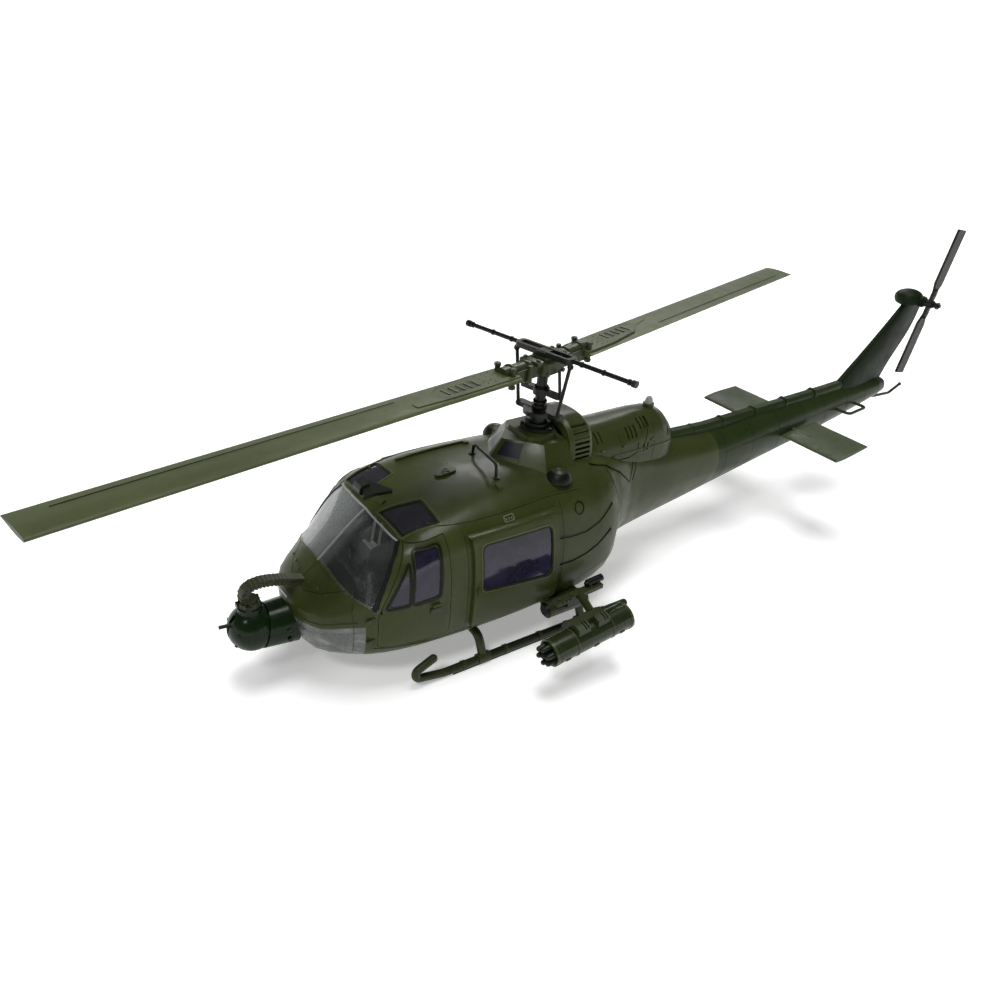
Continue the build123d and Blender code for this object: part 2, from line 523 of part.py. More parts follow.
BAR_A, BAR_B = (-4.0, -18.9), (10.0, -20.2)
with BuildPart() as grab_bar:
    with BuildLine(Plane(origin=(BAR_A[0], S(BAR_A[1]), 0), x_dir=(BAR_B[0] - BAR_A[0], BAR_B[1] - BAR_A[1], 0), z_dir=(BAR_B[1] - BAR_A[1], -(BAR_B[0] - BAR_A[0]), 0))) as bar_line:
        FilletPolyline((0, 46.5), (0.6, 51.6), (13.4, 51.6), (14.06, 45.5), radius=1.2)
    with BuildSketch(Plane(origin=bar_line.line @ 0, z_dir=bar_line.line % 0)):
        Circle(0.42)
    sweep(path=bar_line.line)
    extrude(disc(Plane(origin=(BAR_A[0], S(BAR_A[1]), 46.5)), 0.95), amount=2.2)
    extrude(disc(Plane(origin=(BAR_B[0], S(BAR_B[1]), 45.5)), 0.95), amount=2.6)
    add(form_l.part, mode=Mode.SUBTRACT)
    add(form_r.part, mode=Mode.SUBTRACT)

# ---------------------------------------------------------------- landing gear
with BuildPart() as skid_left:
    with BuildLine(Plane.YZ.offset(SKID_X)) as skid_line:
        FilletPolyline((S(21.0), SKID_Z), (S(-43.5), SKID_Z), (S(-56.3), 3.6), (S(-47.2), 7.9), radius=[9.0, 1.7])
    with BuildSketch(Plane(origin=skid_line.line @ 0, z_dir=skid_line.line % 0)):
        Circle(SKID_R)
    sweep(path=skid_line.line)
    with Locations((SKID_X, S(21.0), SKID_Z), (SKID_X, S(-47.2), 7.9)):
        Sphere(SKID_R)
    for y in (FRONT_TUBE, REAR_TUBE):
        extrude(disc(Plane(origin=(SKID_X, S(y - 1.9), SKID_Z + 0.15), z_dir=(0, 1, 0)), SKID_R + 0.35), amount=3.8)
    extrude(top([(SKID_X - 0.9, -41.0), (SKID_X + 0.9, -41.0), (SKID_X + 0.9, 18.0), (SKID_X - 0.9, 18.0)], 0.0), amount=1.0)
    with BuildSketch(Plane.XY.offset(-2)):
        with Locations((SKID_X, S(0))):
            Rectangle(10, 140)
    extrude(amount=2.0, mode=Mode.SUBTRACT)
with BuildPart() as skid_right:
    mirror(skid_left.part, about=Plane.YZ)


def cross_tube(station, low):
    with BuildLine(Plane.XZ.offset(-S(station))) as ln:
        FilletPolyline((-SKID_X, SKID_Z), (-22.6, low), (22.6, low), (SKID_X, SKID_Z), radius=3.4)
    return ln.line


with BuildPart() as front_cross_tube:
    path = cross_tube(FRONT_TUBE, 7.35)
    with BuildSketch(Plane(origin=path @ 0, z_dir=path % 0)):
        Circle(1.25)
    sweep(path=path)
    for a in (-1, 1):
        extrude(top([(a * 12.4, -32.9), (a * 14.6, -32.9), (a * 14.6, -29.1), (a * 12.4, -29.1)], 6.9), amount=4.0)
    add(form_l.part, mode=Mode.SUBTRACT)
    add(form_r.part, mode=Mode.SUBTRACT)
    add(skid_left.part, mode=Mode.SUBTRACT)
    add(skid_right.part, mode=Mode.SUBTRACT)
    extrude(top([(-30, -40), (30, -40), (30, -20), (-30, -20)], -1), amount=SKID_Z + 1, mode=Mode.SUBTRACT)
with BuildPart() as rear_cross_tube:
    path = cross_tube(REAR_TUBE, 7.75)
    with BuildSketch(Plane(origin=path @ 0, z_dir=path % 0)):
        Circle(1.25)
    sweep(path=path)
    for a in (-1, 1):
        extrude(top([(a * 12.4, 2.1), (a * 14.6, 2.1), (a * 14.6, 5.9), (a * 12.4, 5.9)], 7.3), amount=4.0)
    add(form_l.part, mode=Mode.SUBTRACT)
    add(form_r.part, mode=Mode.SUBTRACT)
    add(skid_left.part, mode=Mode.SUBTRACT)
    add(skid_right.part, mode=Mode.SUBTRACT)
    extrude(top([(-30, -10), (30, -10), (30, 12), (-30, 12)], -1), amount=SKID_Z + 1, mode=Mode.SUBTRACT)

# ---------------------------------------------------------------- rocket pods
FWD = (0, -cos(radians(POD_TILT)), -sin(radians(POD_TILT)))


def pod_plane(along, dx=0.0, dv=0.0):
    # A cross-section plane of the port pod, a distance forward of its rear face.
    up = Vector(0, -FWD[2], FWD[1]) * -1
    o = Vector(POD_X, S(POD_REAR[0]), POD_REAR[1]) + Vector(*FWD) * along + Vector(dx, 0, 0) + up * dv
    return Plane(origin=o, x_dir=(1, 0, 0), z_dir=FWD)


TUBE_R = 0.95
TUBES = [(0.0, 0.0)] + [(2.22 * cos(radians(60 * i + 30)), 2.22 * sin(radians(60 * i + 30))) for i in range(6)]
with BuildPart() as rocket_pod_left:
    extrude(disc(pod_plane(0), POD_R), amount=POD_LEN)
    for a, b in ((0.0, 0.8), (6.4, 7.0), (18.2, 18.8), (24.9, 25.7)):
        extrude(disc(pod_plane(a), POD_R + 0.12), amount=b - a)
    extrude(disc(pod_plane(POD_LEN - 1.1), POD_R - 0.3), amount=2, mode=Mode.SUBTRACT)
    extrude(disc(pod_plane(-1), POD_R - 0.4), amount=2.0, mode=Mode.SUBTRACT)
    for dx, dv in TUBES:
        extrude(disc(pod_plane(-1, dx, dv), TUBE_R), amount=POD_LEN + 3, mode=Mode.SUBTRACT)
with BuildPart() as rocket_pod_right:
    mirror(rocket_pod_left.part, about=Plane.YZ)

with BuildPart() as rockets_half:
    for dx, dv in TUBES:
        extrude(disc(pod_plane(3.0, dx, dv), TUBE_R), amount=POD_LEN - 2.6)
        extrude(disc(pod_plane(POD_LEN + 0.4, dx, dv), 0.86), amount=1.6, taper=5)
        with Locations(pod_plane(POD_LEN + 1.9, dx, dv)):
            Sphere(0.72)
with BuildPart() as rockets:
    add(rockets_half.part)
    mirror(rockets_half.part, about=Plane.YZ)

with BuildPart() as pod_mount_left:
    extrude(front([(18.5, 8.6), (27.4, 8.6), (28.1, 11.0), (27.2, 13.4), (18.5, 13.4)], 1.2, 0.0), amount=9.6)
    extrude(disc(Plane(origin=(27.0, S(-11.6), 11.8), z_dir=(0, 1, 0)), 2.5), amount=4.4)
    extrude(disc(Plane(origin=(27.0, S(-8.0), 11.4), z_dir=(0, 1, 0)), 1.9), amount=10.4)
    extrude(front([(26.2, 11.0), (30.6, 13.4), (30.6, 16.6), (28.7, 16.6), (28.3, 14.5), (26.2, 13.4)], -1.4), amount=5.6)
    extrude(side([(-11.4, 15.4), (4.6, 16.6), (4.6, 17.9), (-11.4, 16.7)], 29.0), amount=2.4)
    pl, ln = rod_plane((28.6, S(-2.0), 15.9), (40.8, S(-8.0), 19.3))
    extrude(disc(pl, 1.15), amount=ln)
    for a in (7.5, 13.9):
        with BuildSketch(pod_plane(a)) as saddle:
            Circle(POD_R + 1.75)
            Circle(POD_R + 0.1, mode=Mode.SUBTRACT)
            with Locations((0, -8.9)):
                Rectangle(20, 20, mode=Mode.SUBTRACT)
            with Locations((7.2, 0)):
                Rectangle(10, 20, mode=Mode.SUBTRACT)
        extrude(amount=3.8)
        for b in (0.55, 1.35):
            extrude(disc(pod_plane(a + b), POD_R + 2.2, POD_R + 1.2), amount=0.36, mode=Mode.SUBTRACT)
    with BuildSketch(pod_plane(7.5)) as tie:
        with Locations((-1.2, POD_R + 0.9)):
            Rectangle(2.2, 1.5)
    extrude(amount=10.2)
    add(form_l.part, mode=Mode.SUBTRACT)
    add(rocket_pod_left.part, mode=Mode.SUBTRACT)
    extrude(disc(pod_plane(-1), POD_R), amount=POD_LEN + 2, mode=Mode.SUBTRACT)
with BuildPart() as pod_mount_right:
    mirror(pod_mount_left.part, about=Plane.YZ)

# ---------------------------------------------------------------- tail boom, fin, tail details
with BuildPart() as boom_left:
    add(boom_form.part)
    add(boom_in.part, mode=Mode.SUBTRACT)
    extrude(disc(Plane.YZ, 1.05).moved(Location((0, S(STAB_Y), STAB_Z))), amount=20, mode=Mode.SUBTRACT)
with BuildPart() as boom_right:
    mirror(boom_left.part, about=Plane.YZ)
with BuildPart() as boom_form_r:
    mirror(boom_form.part, about=Plane.YZ)


def foil(z, y0, y1, t):
    # Symmetric section in plan, blunt at the nose, fine at the tail; t is half the thickness.
    c = y1 - y0
    up = [(0.0, 0.0), (0.42 * t, 0.02), (0.68 * t, 0.07), (0.92 * t, 0.18), (1.0 * t, 0.34), (0.72 * t, 0.66), (0.14 * t, 1.0)]
    with BuildSketch(Plane.XY.offset(z)) as sk:
        with BuildLine():
            Spline(*[(x, S(y0 + c * f)) for x, f in up])
            Line((0.14 * t, S(y1)), (-0.14 * t, S(y1)))
            Spline(*[(-x, S(y0 + c * f)) for x, f in up[::-1]])
        make_face()
    return sk.sketch.faces()[0]


with BuildPart() as tail_fin:
    loft([foil(36.5, 136.5, 167.5, 2.4), foil(42.5, 141.6, 169.8, 2.1), foil(49.5, 148.8, 173.4, 1.75), foil(56.5, 156.0, 177.6, 1.5), foil(63.5, 162.9, 180.2, 1.35), foil(70.5, 169.6, 181.6, 1.25)])
    add(boom_form.part, mode=Mode.SUBTRACT)
    add(boom_form_r.part, mode=Mode.SUBTRACT)
with BuildPart() as gearbox_fairing:
    with BuildSketch(Plane.YZ):
        with BuildLine():
            Spline((S(171.2), 75.0), (S(174.0), 74.5), (S(176.0), 72.6), (S(175.6), 70.4), (S(173.6), 69.2), tangents=[(1, 0), (-1, -0.35)])
            Polyline((S(173.6), 69.2), (S(171.2), 69.0), (S(171.2), 75.0))
        make_face()
    revolve(axis=Axis((0, S(171.2), 0), (0, 0, 1)))
    extrude(disc(Plane(origin=(0, S(172.0), 71.6), z_dir=(1, 0, 0)), 2.0), amount=5.6)
    extrude(disc(Plane(origin=(5.0, S(172.0), 71.6), z_dir=(1, 0, 0)), 1.5), amount=1.3)
    add(tail_fin.part, mode=Mode.SUBTRACT)
    extrude(disc(Plane(origin=(1.2, S(172.0), 71.6), z_dir=(1, 0, 0)), 0.65), amount=8, mode=Mode.SUBTRACT)

with BuildPart() as tail_rotor_hub:
    extrude(disc(Plane(origin=(1.6, S(172.0), 71.6), z_dir=(1, 0, 0)), 0.6), amount=10.2)
    extrude(disc(Plane(origin=(6.6, S(172.0), 71.6), z_dir=(1, 0, 0)), 1.35), amount=2.6)
    extrude(disc(Plane(origin=(9.2, S(172.0), 71.6), z_dir=(1, 0, 0)), 0.95), amount=1.9)
    extrude(disc(Plane(origin=(10.6, S(172.0), 71.6), z_dir=(1, 0, 0)), 1.25), amount=0.6)

tail_dir = Vector(0, cos(radians(TAIL_ANGLE)), sin(radians(TAIL_ANGLE)))
tail_side = Vector(0, sin(radians(TAIL_ANGLE)), -cos(radians(TAIL_ANGLE)))
tail_plane = Plane(origin=(7.25, S(172.0), 71.6), x_dir=tail_dir, z_dir=(1, 0, 0))
with BuildPart() as tail_rotor_blades:
    for a in (1, -1):
        with BuildSketch(tail_plane):
            with BuildLine():
                Polyline((0, -0.9 * a), (a * 4.0, -0.9 * a), (a * 7.2, -2.3 * a), (a * TAIL_R, -2.35 * a), (a * TAIL_R, 2.25 * a), (a * 7.6, 2.2 * a), (a * 4.2, 0.9 * a), (0, 0.9 * a), close=True)
            make_face()
        extrude(amount=0.85)
    fillet(tail_rotor_blades.edges().filter_by(Axis.X), 0.35)
    add(tail_rotor_hub.part, mode=Mode.SUBTRACT)

with BuildPart() as shaft_cover:
    loft([
        front([(-2.1, 36), (2.1, 36), (2.1, 40.6), (1.2, 41.8), (-1.2, 41.8), (-2.1, 40.6)], 49.6).faces()[0],
        front([(-2.0, 36), (2.0, 36), (2.0, 39.9), (1.1, 41.0), (-1.1, 41.0), (-2.0, 39.9)], 71.0).faces()[0],
        front([(-1.9, 36), (1.9, 36), (1.9, 40.8), (1.1, 41.9), (-1.1, 41.9), (-1.9, 40.8)], 103.0).faces()[0],
        front([(-1.7, 36), (1.7, 36), (1.7, 41.8), (1.0, 42.9), (-1.0, 42.9), (-1.7, 41.8)], 135.0).faces()[0],
        front([(-1.6, 36), (1.6, 36), (1.6, 42.4), (0.9, 43.4), (-0.9, 43.4), (-1.6, 42.4)], 143.0).faces()[0],
    ], ruled=True)
    for y in (66.0, 80.0, 96.0, 112.0, 128.0):
        zz = 40.2 + max(0, (y - 71.0)) * 0.031
        extrude(front([(-2.14, 36), (2.14, 36), (2.14, zz), (1.24, zz + 1.16), (-1.24, zz + 1.16), (-2.14, zz)], y), amount=0.8)
    add(form_l.part, mode=Mode.SUBTRACT)
    add(form_r.part, mode=Mode.SUBTRACT)
    add(boom_form.part, mode=Mode.SUBTRACT)
    add(boom_form_r.part, mode=Mode.SUBTRACT)
    add(tail_fin.part, mode=Mode.SUBTRACT)
    add(engine_cowl.part, mode=Mode.SUBTRACT)
    # room for the exhaust pipe above the forward end
    extrude(disc(Plane(origin=(0, S(44.4), 43.9), z_dir=(0, 1, 0)), 2.65), amount=7.0, mode=Mode.SUBTRACT)

with BuildPart() as tail_skid:
    with BuildLine(Plane.YZ) as skid_path:
        FilletPolyline((S(164.0), 33.6), (S(170.0), 32.4), (S(180.4), 31.9), (S(186.6), 34.6), radius=[6, 2.6])
    with BuildSketch(Plane(origin=skid_path.line @ 0, z_dir=skid_path.line % 0)):
        Circle(0.55)
    sweep(path=skid_path.line)
    with Locations((0, S(186.6), 34.6)):
        Sphere(0.7)
    add(boom_form.part, mode=Mode.SUBTRACT)
    add(boom_form_r.part, mode=Mode.SUBTRACT)

with BuildPart() as loop_half:
    with BuildLine(Plane.XY.offset(34.8)) as loop_line:
        FilletPolyline((2.0, S(138.6)), (10.2, S(138.9)), (8.9, S(150.8)), (2.0, S(149.9)), radius=1.7)
    with BuildSketch(Plane(origin=loop_line.line @ 0, z_dir=loop_line.line % 0)):
        Circle(0.55)
    sweep(path=loop_line.line)
    add(boom_form.part, mode=Mode.SUBTRACT)
with BuildPart() as loop_antennas:
    add(loop_half.part)
    mirror(loop_half.part, about=Plane.YZ)

# Stabilizer: both surfaces on one spar through the boom
SLOPE = 6.0


def stab_section(x, chord):
    ang = radians(SLOPE)
    pl = Plane(origin=(x, S(STAB_Y), STAB_Z), x_dir=(0, cos(ang), sin(ang)), z_dir=(1, 0, 0))
    a, b = -0.38 * chord, 0.62 * chord
    prof = [(0.0, 0.0), (0.02, 0.42), (0.08, 0.72), (0.2, 0.95), (0.36, 1.0), (0.7, 0.64), (1.0, 0.2)]
    t = 0.8
    with BuildSketch(pl) as sk:
        with BuildLine():
            Spline(*[(a + chord * f, t * h) for f, h in prof])
            Line((b, t * 0.2), (b, -t * 0.2))
            Spline(*[(a + chord * f, -t * h) for f, h in prof[::-1]])
        make_face()
    return sk.sketch.faces()[0]


with BuildPart() as stab_half:
    loft([stab_section(7.6, 17.4), stab_section(29.3, 17.2)])
with BuildPart() as stabilizer:
    add(stab_half.part)
    mirror(stab_half.part, about=Plane.YZ)
    extrude(disc(Plane(origin=(-14.0, S(STAB_Y), STAB_Z), z_dir=(1, 0, 0)), 1.0), amount=28.0)

# ---------------------------------------------------------------- nose turret
with BuildPart() as turret_ball:
    with Locations((0, S(BALL[0]), BALL[1])):
        Sphere(BALL_R)
    extrude(disc(Plane(origin=(0, S(BALL[0]), BALL[1] + BALL_R - 0.9)), 3.2), amount=1.5)
    extrude(disc(Plane(origin=(0, S(BALL[0]), BALL[1] + 4.3)), 1.05), amount=6, mode=Mode.SUBTRACT)
    # lens-shaped port in front for the barrel to elevate in
    extrude(side([(-88.1, 16.0), (-95.3, 12.7), (-95.3, 22.3), (-88.1, 19.6)], -0.65), amount=1.3, mode=Mode.SUBTRACT)
    extrude(disc(Plane(origin=(-2.05, S(-88.2), 17.8), z_dir=(1, 0, 0)), 1.75), amount=4.1, mode=Mode.SUBTRACT)
    for a, e in ((40, 12), (-40, 12), (22, -30), (-22, -30)):
        dx, dy, dz = sin(radians(a)) * cos(radians(e)), -cos(radians(a)) * cos(radians(e)), sin(radians(e))
        rr = BALL_R - 1.0
        extrude(disc(Plane(origin=(dx * rr, S(BALL[0]) + dy * rr, BALL[1] + dz * rr), z_dir=(dx, dy, dz)), 0.45), amount=1.25)

with BuildPart() as launcher_barrel:
    extrude(disc(Plane(origin=(-1.9, S(-88.2), 17.8), z_dir=(1, 0, 0)), 1.6), amount=3.8)
    pl, ln = rod_plane((0, S(-88.2), 17.8), (0, S(-95.1), 18.45))
    extrude(disc(pl, 0.5), amount=ln)
    pl2 = Plane(origin=Vector(0, S(-95.1), 18.45) + Vector(0, 6.9, -0.65) * (1.2 / 6.93), z_dir=Vector(0, -6.9, 0.65))
    extrude(disc(pl2, 0.28), amount=3, mode=Mode.SUBTRACT)

with BuildPart() as turret_mount:
    with BuildSketch(Plane.XZ.offset(-S(-76.0))) as base_sk:
        with Locations((0, 14.6)):
            Ellipse(6.5, 6.3)
    with BuildSketch(Plane.XZ.offset(-S(-85.4))) as end_sk:
        with Locations((0, 15.0)):
            Ellipse(6.0, 5.7)
    loft([base_sk.sketch.faces()[0], end_sk.sketch.faces()[0]])
    with Locations((0, S(BALL[0]), BALL[1])):
        Sphere(BALL_R + 0.3, mode=Mode.SUBTRACT)
    for a in (-1, 1):
        extrude(disc(Plane(origin=(a * 5.0, S(-79.0), 16.0), z_dir=(a, 0, 0)), 0.5), amount=1.75)
        extrude(disc(Plane(origin=(a * 5.0, S(-79.0), 13.0), z_dir=(a, 0, 0)), 0.5), amount=1.75)
    # a wedge behind the turret that carries the mount into the nose
    add(form_l.part, mode=Mode.SUBTRACT)
    add(form_r.part, mode=Mode.SUBTRACT)

CHUTE = [(-88.0, 23.6), (-88.3, 25.4), (-88.1, 26.8), (-87.3, 27.9), (-85.9, 28.6), (-83.6, 28.8), (-81.3, 28.5), (-79.2, 28.0), (-76.6, 27.2), (-73.9, 26.3), (-70.0, 25.0)]
with BuildPart() as feed_chute:
    extrude(side(band(CHUTE, 0.9), -1.4), amount=2.8)
    extrude(disc(Plane(origin=(0, S(BALL[0]), BALL[1] + BALL_R + 0.66)), 2.75), amount=1.5)
    extrude(disc(Plane(origin=(0, S(BALL[0]), BALL[1] + BALL_R + 2.0)), 2.2), amount=0.9)
    extrude(disc(Plane(origin=(0, S(BALL[0]), BALL[1] + 4.5)), 1.0), amount=3.0)
    for a in (20, 80, 140, 200, 260, 320):
        extrude(disc(Plane(origin=(2.5 * sin(radians(a)), S(BALL[0]) - 2.5 * cos(radians(a)), BALL[1] + BALL_R + 1.1)), 0.45), amount=1.4)
    for i in range(2, 10):
        y, z = CHUTE[i]
        for a in (-1, 1):
            extrude(disc(Plane(origin=(a * 1.3, S(y), z), z_dir=(a, 0, 0)), 0.33), amount=0.42)
    add(form_l.part, mode=Mode.SUBTRACT)
    add(form_r.part, mode=Mode.SUBTRACT)

# ---------------------------------------------------------------- rotor controls and main rotor
with BuildPart() as swash_base:
    extrude(disc(Plane(origin=(0, S(0), 54.5)), 4.9, MAST_R + 0.05), amount=0.9)
    extrude(disc(Plane(origin=(0, S(0), 55.4)), 3.6, MAST_R + 0.05), amount=1.1)
    for a in (0, 120, 240):
        extrude(disc(Plane(origin=(4.25 * cos(radians(a)), S(0) + 4.25 * sin(radians(a)), 55.2)), 0.42), amount=0.6)
    extrude(disc(Plane(origin=(0, S(0), 56.5)), 2.6, MAST_R + 0.05), amount=1.9)

psi = radians(ROTOR_PSI)
fwd_dir = Vector(sin(psi), -cos(psi), 0)
bar_dir = Vector(cos(psi), sin(psi), 0)


def rotor_plane(z):
    return Plane(origin=(0, S(0), z), x_dir=fwd_dir, z_dir=(0, 0, 1))


def rpt(u, v, z):
    # u along the forward blade, v along the stabilizer bar (leading-edge side), z up
    p = fwd_dir * u + bar_dir * v
    return (p.X, p.Y + S(0), z)


with BuildPart() as rotor_mast:
    extrude(disc(rotor_plane(49.4), MAST_R), amount=26.6)
    extrude(disc(rotor_plane(64.6), 2.3), amount=1.8)
    extrude(disc(rotor_plane(60.6), 2.1), amount=0.8)

with BuildPart() as rotor_head:
    with BuildSketch(rotor_plane(71.6)) as yoke:
        RectangleRounded(34.0, 5.0, 1.2)
        RectangleRounded(9.0, 8.2, 1.4)
    extrude(amount=3.2)
    with BuildSketch(rotor_plane(74.8)):
        RectangleRounded(6.2, 5.4, 1.2)
    extrude(amount=1.1)
    for s in (1, -1):
        pl, ln = rod_plane(rpt(5.6 * s, 0, 73.3), rpt(17.6 * s, 0, 73.65))
        extrude(disc(pl, 2.5), amount=ln)
        for v in (-2.7, 2.7):
            extrude(disc(Plane(origin=rpt(16.2 * s, v, 71.6)), 0.75), amount=4.6)
        extrude(disc(Plane(origin=rpt(9.6 * s, 3.0 * s, 71.2)), 0.7), amount=4.6)
    add(rotor_mast.part, mode=Mode.SUBTRACT)

cone = radians(CONING)
blade_axis = fwd_dir * cos(cone) + Vector(0, 0, sin(cone))


def airfoil(r, chord, tk):
    pl = Plane(origin=Vector(0, S(0), HUB_Z) + blade_axis * r, x_dir=bar_dir, z_dir=blade_axis)
    prof = [(0.5, 0.0), (0.48, 0.42), (0.4, 0.8), (0.22, 1.0), (-0.1, 0.82), (-0.35, 0.42), (-0.5, 0.16)]
    with BuildSketch(pl) as sk:
        with BuildLine():
            Spline(*[(f * chord, h * tk) for f, h in prof])
            Line((-0.5 * chord, 0.16 * tk), (-0.5 * chord, -0.16 * tk))
            Spline(*[(f * chord, -h * tk) for f, h in prof[::-1]])
        make_face()
    return sk.sketch.faces()[0]


with BuildPart() as blade_one:
    loft([airfoil(14.6, BLADE_CHORD, 0.66), airfoil(ROTOR_R, BLADE_CHORD, 0.62)])
    root_plane = Plane(origin=Vector(0, S(0), HUB_Z) - Vector(0, 0, 0), x_dir=blade_axis, z_dir=Vector(0, 0, 1) * cos(cone) - fwd_dir * sin(cone))
    with BuildSketch(root_plane.offset(-0.86)):
        with BuildLine():
            Polyline((14.6, -3.9), (27.0, -4.0), (38.5, -2.9), (44.0, 0.2), (50.0, 1.4), (50.0, 3.4), (38.0, 4.1), (14.6, 4.1), close=True)
        make_face()
    extrude(amount=1.72)
    for r in (28.0, 30.6, 33.2, 35.8, 38.4):
        with BuildSketch(root_plane.offset(-1.08)):
            with Locations((r, 0.6)):
                SlotOverall(3.6, 0.8, rotation=90)
        extrude(amount=2.16)
    add(rotor_head.part, mode=Mode.SUBTRACT)
with BuildPart() as main_blades:
    add(blade_one.part)
    add(blade_one.part.rotate(Axis((0, S(0), 0), (0, 0, 1)), 180))

with BuildPart() as stabilizer_bar:
    for s in (1, -1):
        pl, ln = rod_plane(rpt(0, 9.0 * s, BAR_Z), rpt(0, 28.9 * s, BAR_Z))
        extrude(disc(pl, 0.62), amount=ln)
        pl, ln = rod_plane(rpt(0, 28.1 * s, BAR_Z), rpt(0, 29.3 * s, BAR_Z))
        extrude(disc(pl, 0.95), amount=ln)
        pl, ln = rod_plane(rpt(0, 26.9 * s, BAR_Z), rpt(0, 27.4 * s, BAR_Z))
        extrude(disc(pl, 0.85), amount=ln)
    with BuildSketch(rotor_plane(BAR_Z - 0.75)):
        RectangleRounded(4.0, 19.2, 1.3)
        RectangleRounded(2.2, 16.8, 0.8, mode=Mode.SUBTRACT)
    extrude(amount=1.5)
    with BuildSketch(rotor_plane(BAR_Z - 0.75)):
        Rectangle(5.0, 3.4)
    extrude(amount=1.3)
    add(rotor_mast.part, mode=Mode.SUBTRACT)
    add(rotor_head.part, mode=Mode.SUBTRACT)

with BuildPart() as control_links:
    extrude(disc(rotor_plane(58.9), 4.6, MAST_R), amount=1.2)
    with BuildSketch(rotor_plane(58.9)):
        RectangleRounded(2.6, 15.6, 1.0)
        Circle(MAST_R, mode=Mode.SUBTRACT)
    extrude(amount=1.4)
    with BuildSketch(rotor_plane(64.9)):
        RectangleRounded(2.2, 14.0, 0.9)
        Circle(2.3, mode=Mode.SUBTRACT)
    extrude(amount=1.2)
    for s in (1, -1):
        pl, ln = rod_plane(rpt(0.9, 6.9 * s, 59.4), rpt(0.9, 9.4 * s, BAR_Z - 0.4))
        extrude(disc(pl, 0.5), amount=ln)
        pl, ln = rod_plane(rpt(-0.6, 6.1 * s, 65.4), rpt(-0.6, 4.9 * s, 72.6))
        extrude(disc(pl, 0.45), amount=ln)
        for p in (rpt(0.9, 6.9 * s, 59.8), rpt(0.9, 9.35 * s, 75.3), rpt(-0.6, 6.1 * s, 65.6)):
            with Locations(p):
                Sphere(0.85)
    add(stabilizer_bar.part, mode=Mode.SUBTRACT)
    add(rotor_head.part, mode=Mode.SUBTRACT)
    add(rotor_mast.part, mode=Mode.SUBTRACT)

# ---------------------------------------------------------------- write the pieces
PIECES = {
    "fuselage_left": fuselage_left, "fuselage_right": fuselage_right, "windscreen": windscreen,
    "chin_windows": chin_windows, "roof_windows": roof_windows,
    "crew_door_left": crew_door_left, "crew_door_right": crew_door_right,
    "crew_door_glass_left": crew_door_glass_left, "crew_door_glass_right": crew_door_glass_right,
    "cabin_door_left": cabin_door_left, "cabin_door_right": cabin_door_right,
    "cabin_door_glass_left": cabin_door_glass_left, "cabin_door_glass_right": cabin_door_glass_right,
    "door_rails": door_rails, "cockpit_floor": cockpit_floor, "rear_bulkhead": rear_bulkhead,
    "crew_seats": crew_seats, "bench_seat": bench_seat, "instrument_panel": instrument_panel,
    "centre_console": centre_console, "control_sticks": control_sticks,
    "pylon_fairing": pylon_fairing, "pylon_glazing": pylon_glazing, "intake_ring": intake_ring,
    "engine_cowl": engine_cowl, "exhaust_pipe": exhaust_pipe, "beacon": beacon, "air_blisters": air_blisters,
    "roof_scoop": roof_scoop, "roof_fittings": roof_fittings, "grab_bar": grab_bar,
    "skid_left": skid_left, "skid_right": skid_right,
    "front_cross_tube": front_cross_tube, "rear_cross_tube": rear_cross_tube,
    "rocket_pod_left": rocket_pod_left, "rocket_pod_right": rocket_pod_right, "rockets": rockets,
    "pod_mount_left": pod_mount_left, "pod_mount_right": pod_mount_right,
    "boom_left": boom_left, "boom_right": boom_right, "tail_fin": tail_fin,
    "gearbox_fairing": gearbox_fairing, "shaft_cover": shaft_cover, "tail_skid": tail_skid,
    "loop_antennas": loop_antennas, "stabilizer": stabilizer,
    "tail_rotor_hub": tail_rotor_hub, "tail_rotor_blades": tail_rotor_blades,
    "turret_mount": turret_mount, "turret_ball": turret_ball, "launcher_barrel": launcher_barrel,
    "feed_chute": feed_chute, "swash_base": swash_base,
    "rotor_mast": rotor_mast, "rotor_head": rotor_head, "main_blades": main_blades,
    "stabilizer_bar": stabilizer_bar, "control_links": control_links,
}
for label, piece in PIECES.items():
    piece.part.label = label
    export_step(piece.part, f"parts/{label}.step")
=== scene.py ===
import math

import bmesh
import bpy
from mathutils import Matrix, Vector
from mathutils.bvhtree import BVHTree


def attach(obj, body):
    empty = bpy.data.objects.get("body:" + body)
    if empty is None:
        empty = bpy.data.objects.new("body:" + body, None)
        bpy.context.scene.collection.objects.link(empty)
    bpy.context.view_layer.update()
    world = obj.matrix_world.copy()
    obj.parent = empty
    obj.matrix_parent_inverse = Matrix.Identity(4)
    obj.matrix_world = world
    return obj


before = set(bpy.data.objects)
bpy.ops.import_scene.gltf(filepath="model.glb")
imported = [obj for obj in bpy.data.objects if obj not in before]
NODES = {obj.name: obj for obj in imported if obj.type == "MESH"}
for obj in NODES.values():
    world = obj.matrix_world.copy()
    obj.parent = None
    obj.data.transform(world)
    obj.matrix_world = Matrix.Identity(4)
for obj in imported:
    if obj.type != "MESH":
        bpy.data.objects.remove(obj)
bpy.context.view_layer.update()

MAST_Y = -0.0264
MM = 0.001


def W(x, y, z):
    """Millimetres, y as a distance aft of the rotor mast, to metres in the row frame."""
    return Vector((x * MM, MAST_Y + y * MM, z * MM))


# ------------------------------------------------------------------ materials
def new_mat(name):
    m = bpy.data.materials.new(name)
    m.use_nodes = True
    nt = m.node_tree
    return m, nt, nt.nodes["Principled BSDF"]


def coords(nt):
    return nt.nodes.new("ShaderNodeTexCoord").outputs["Object"]


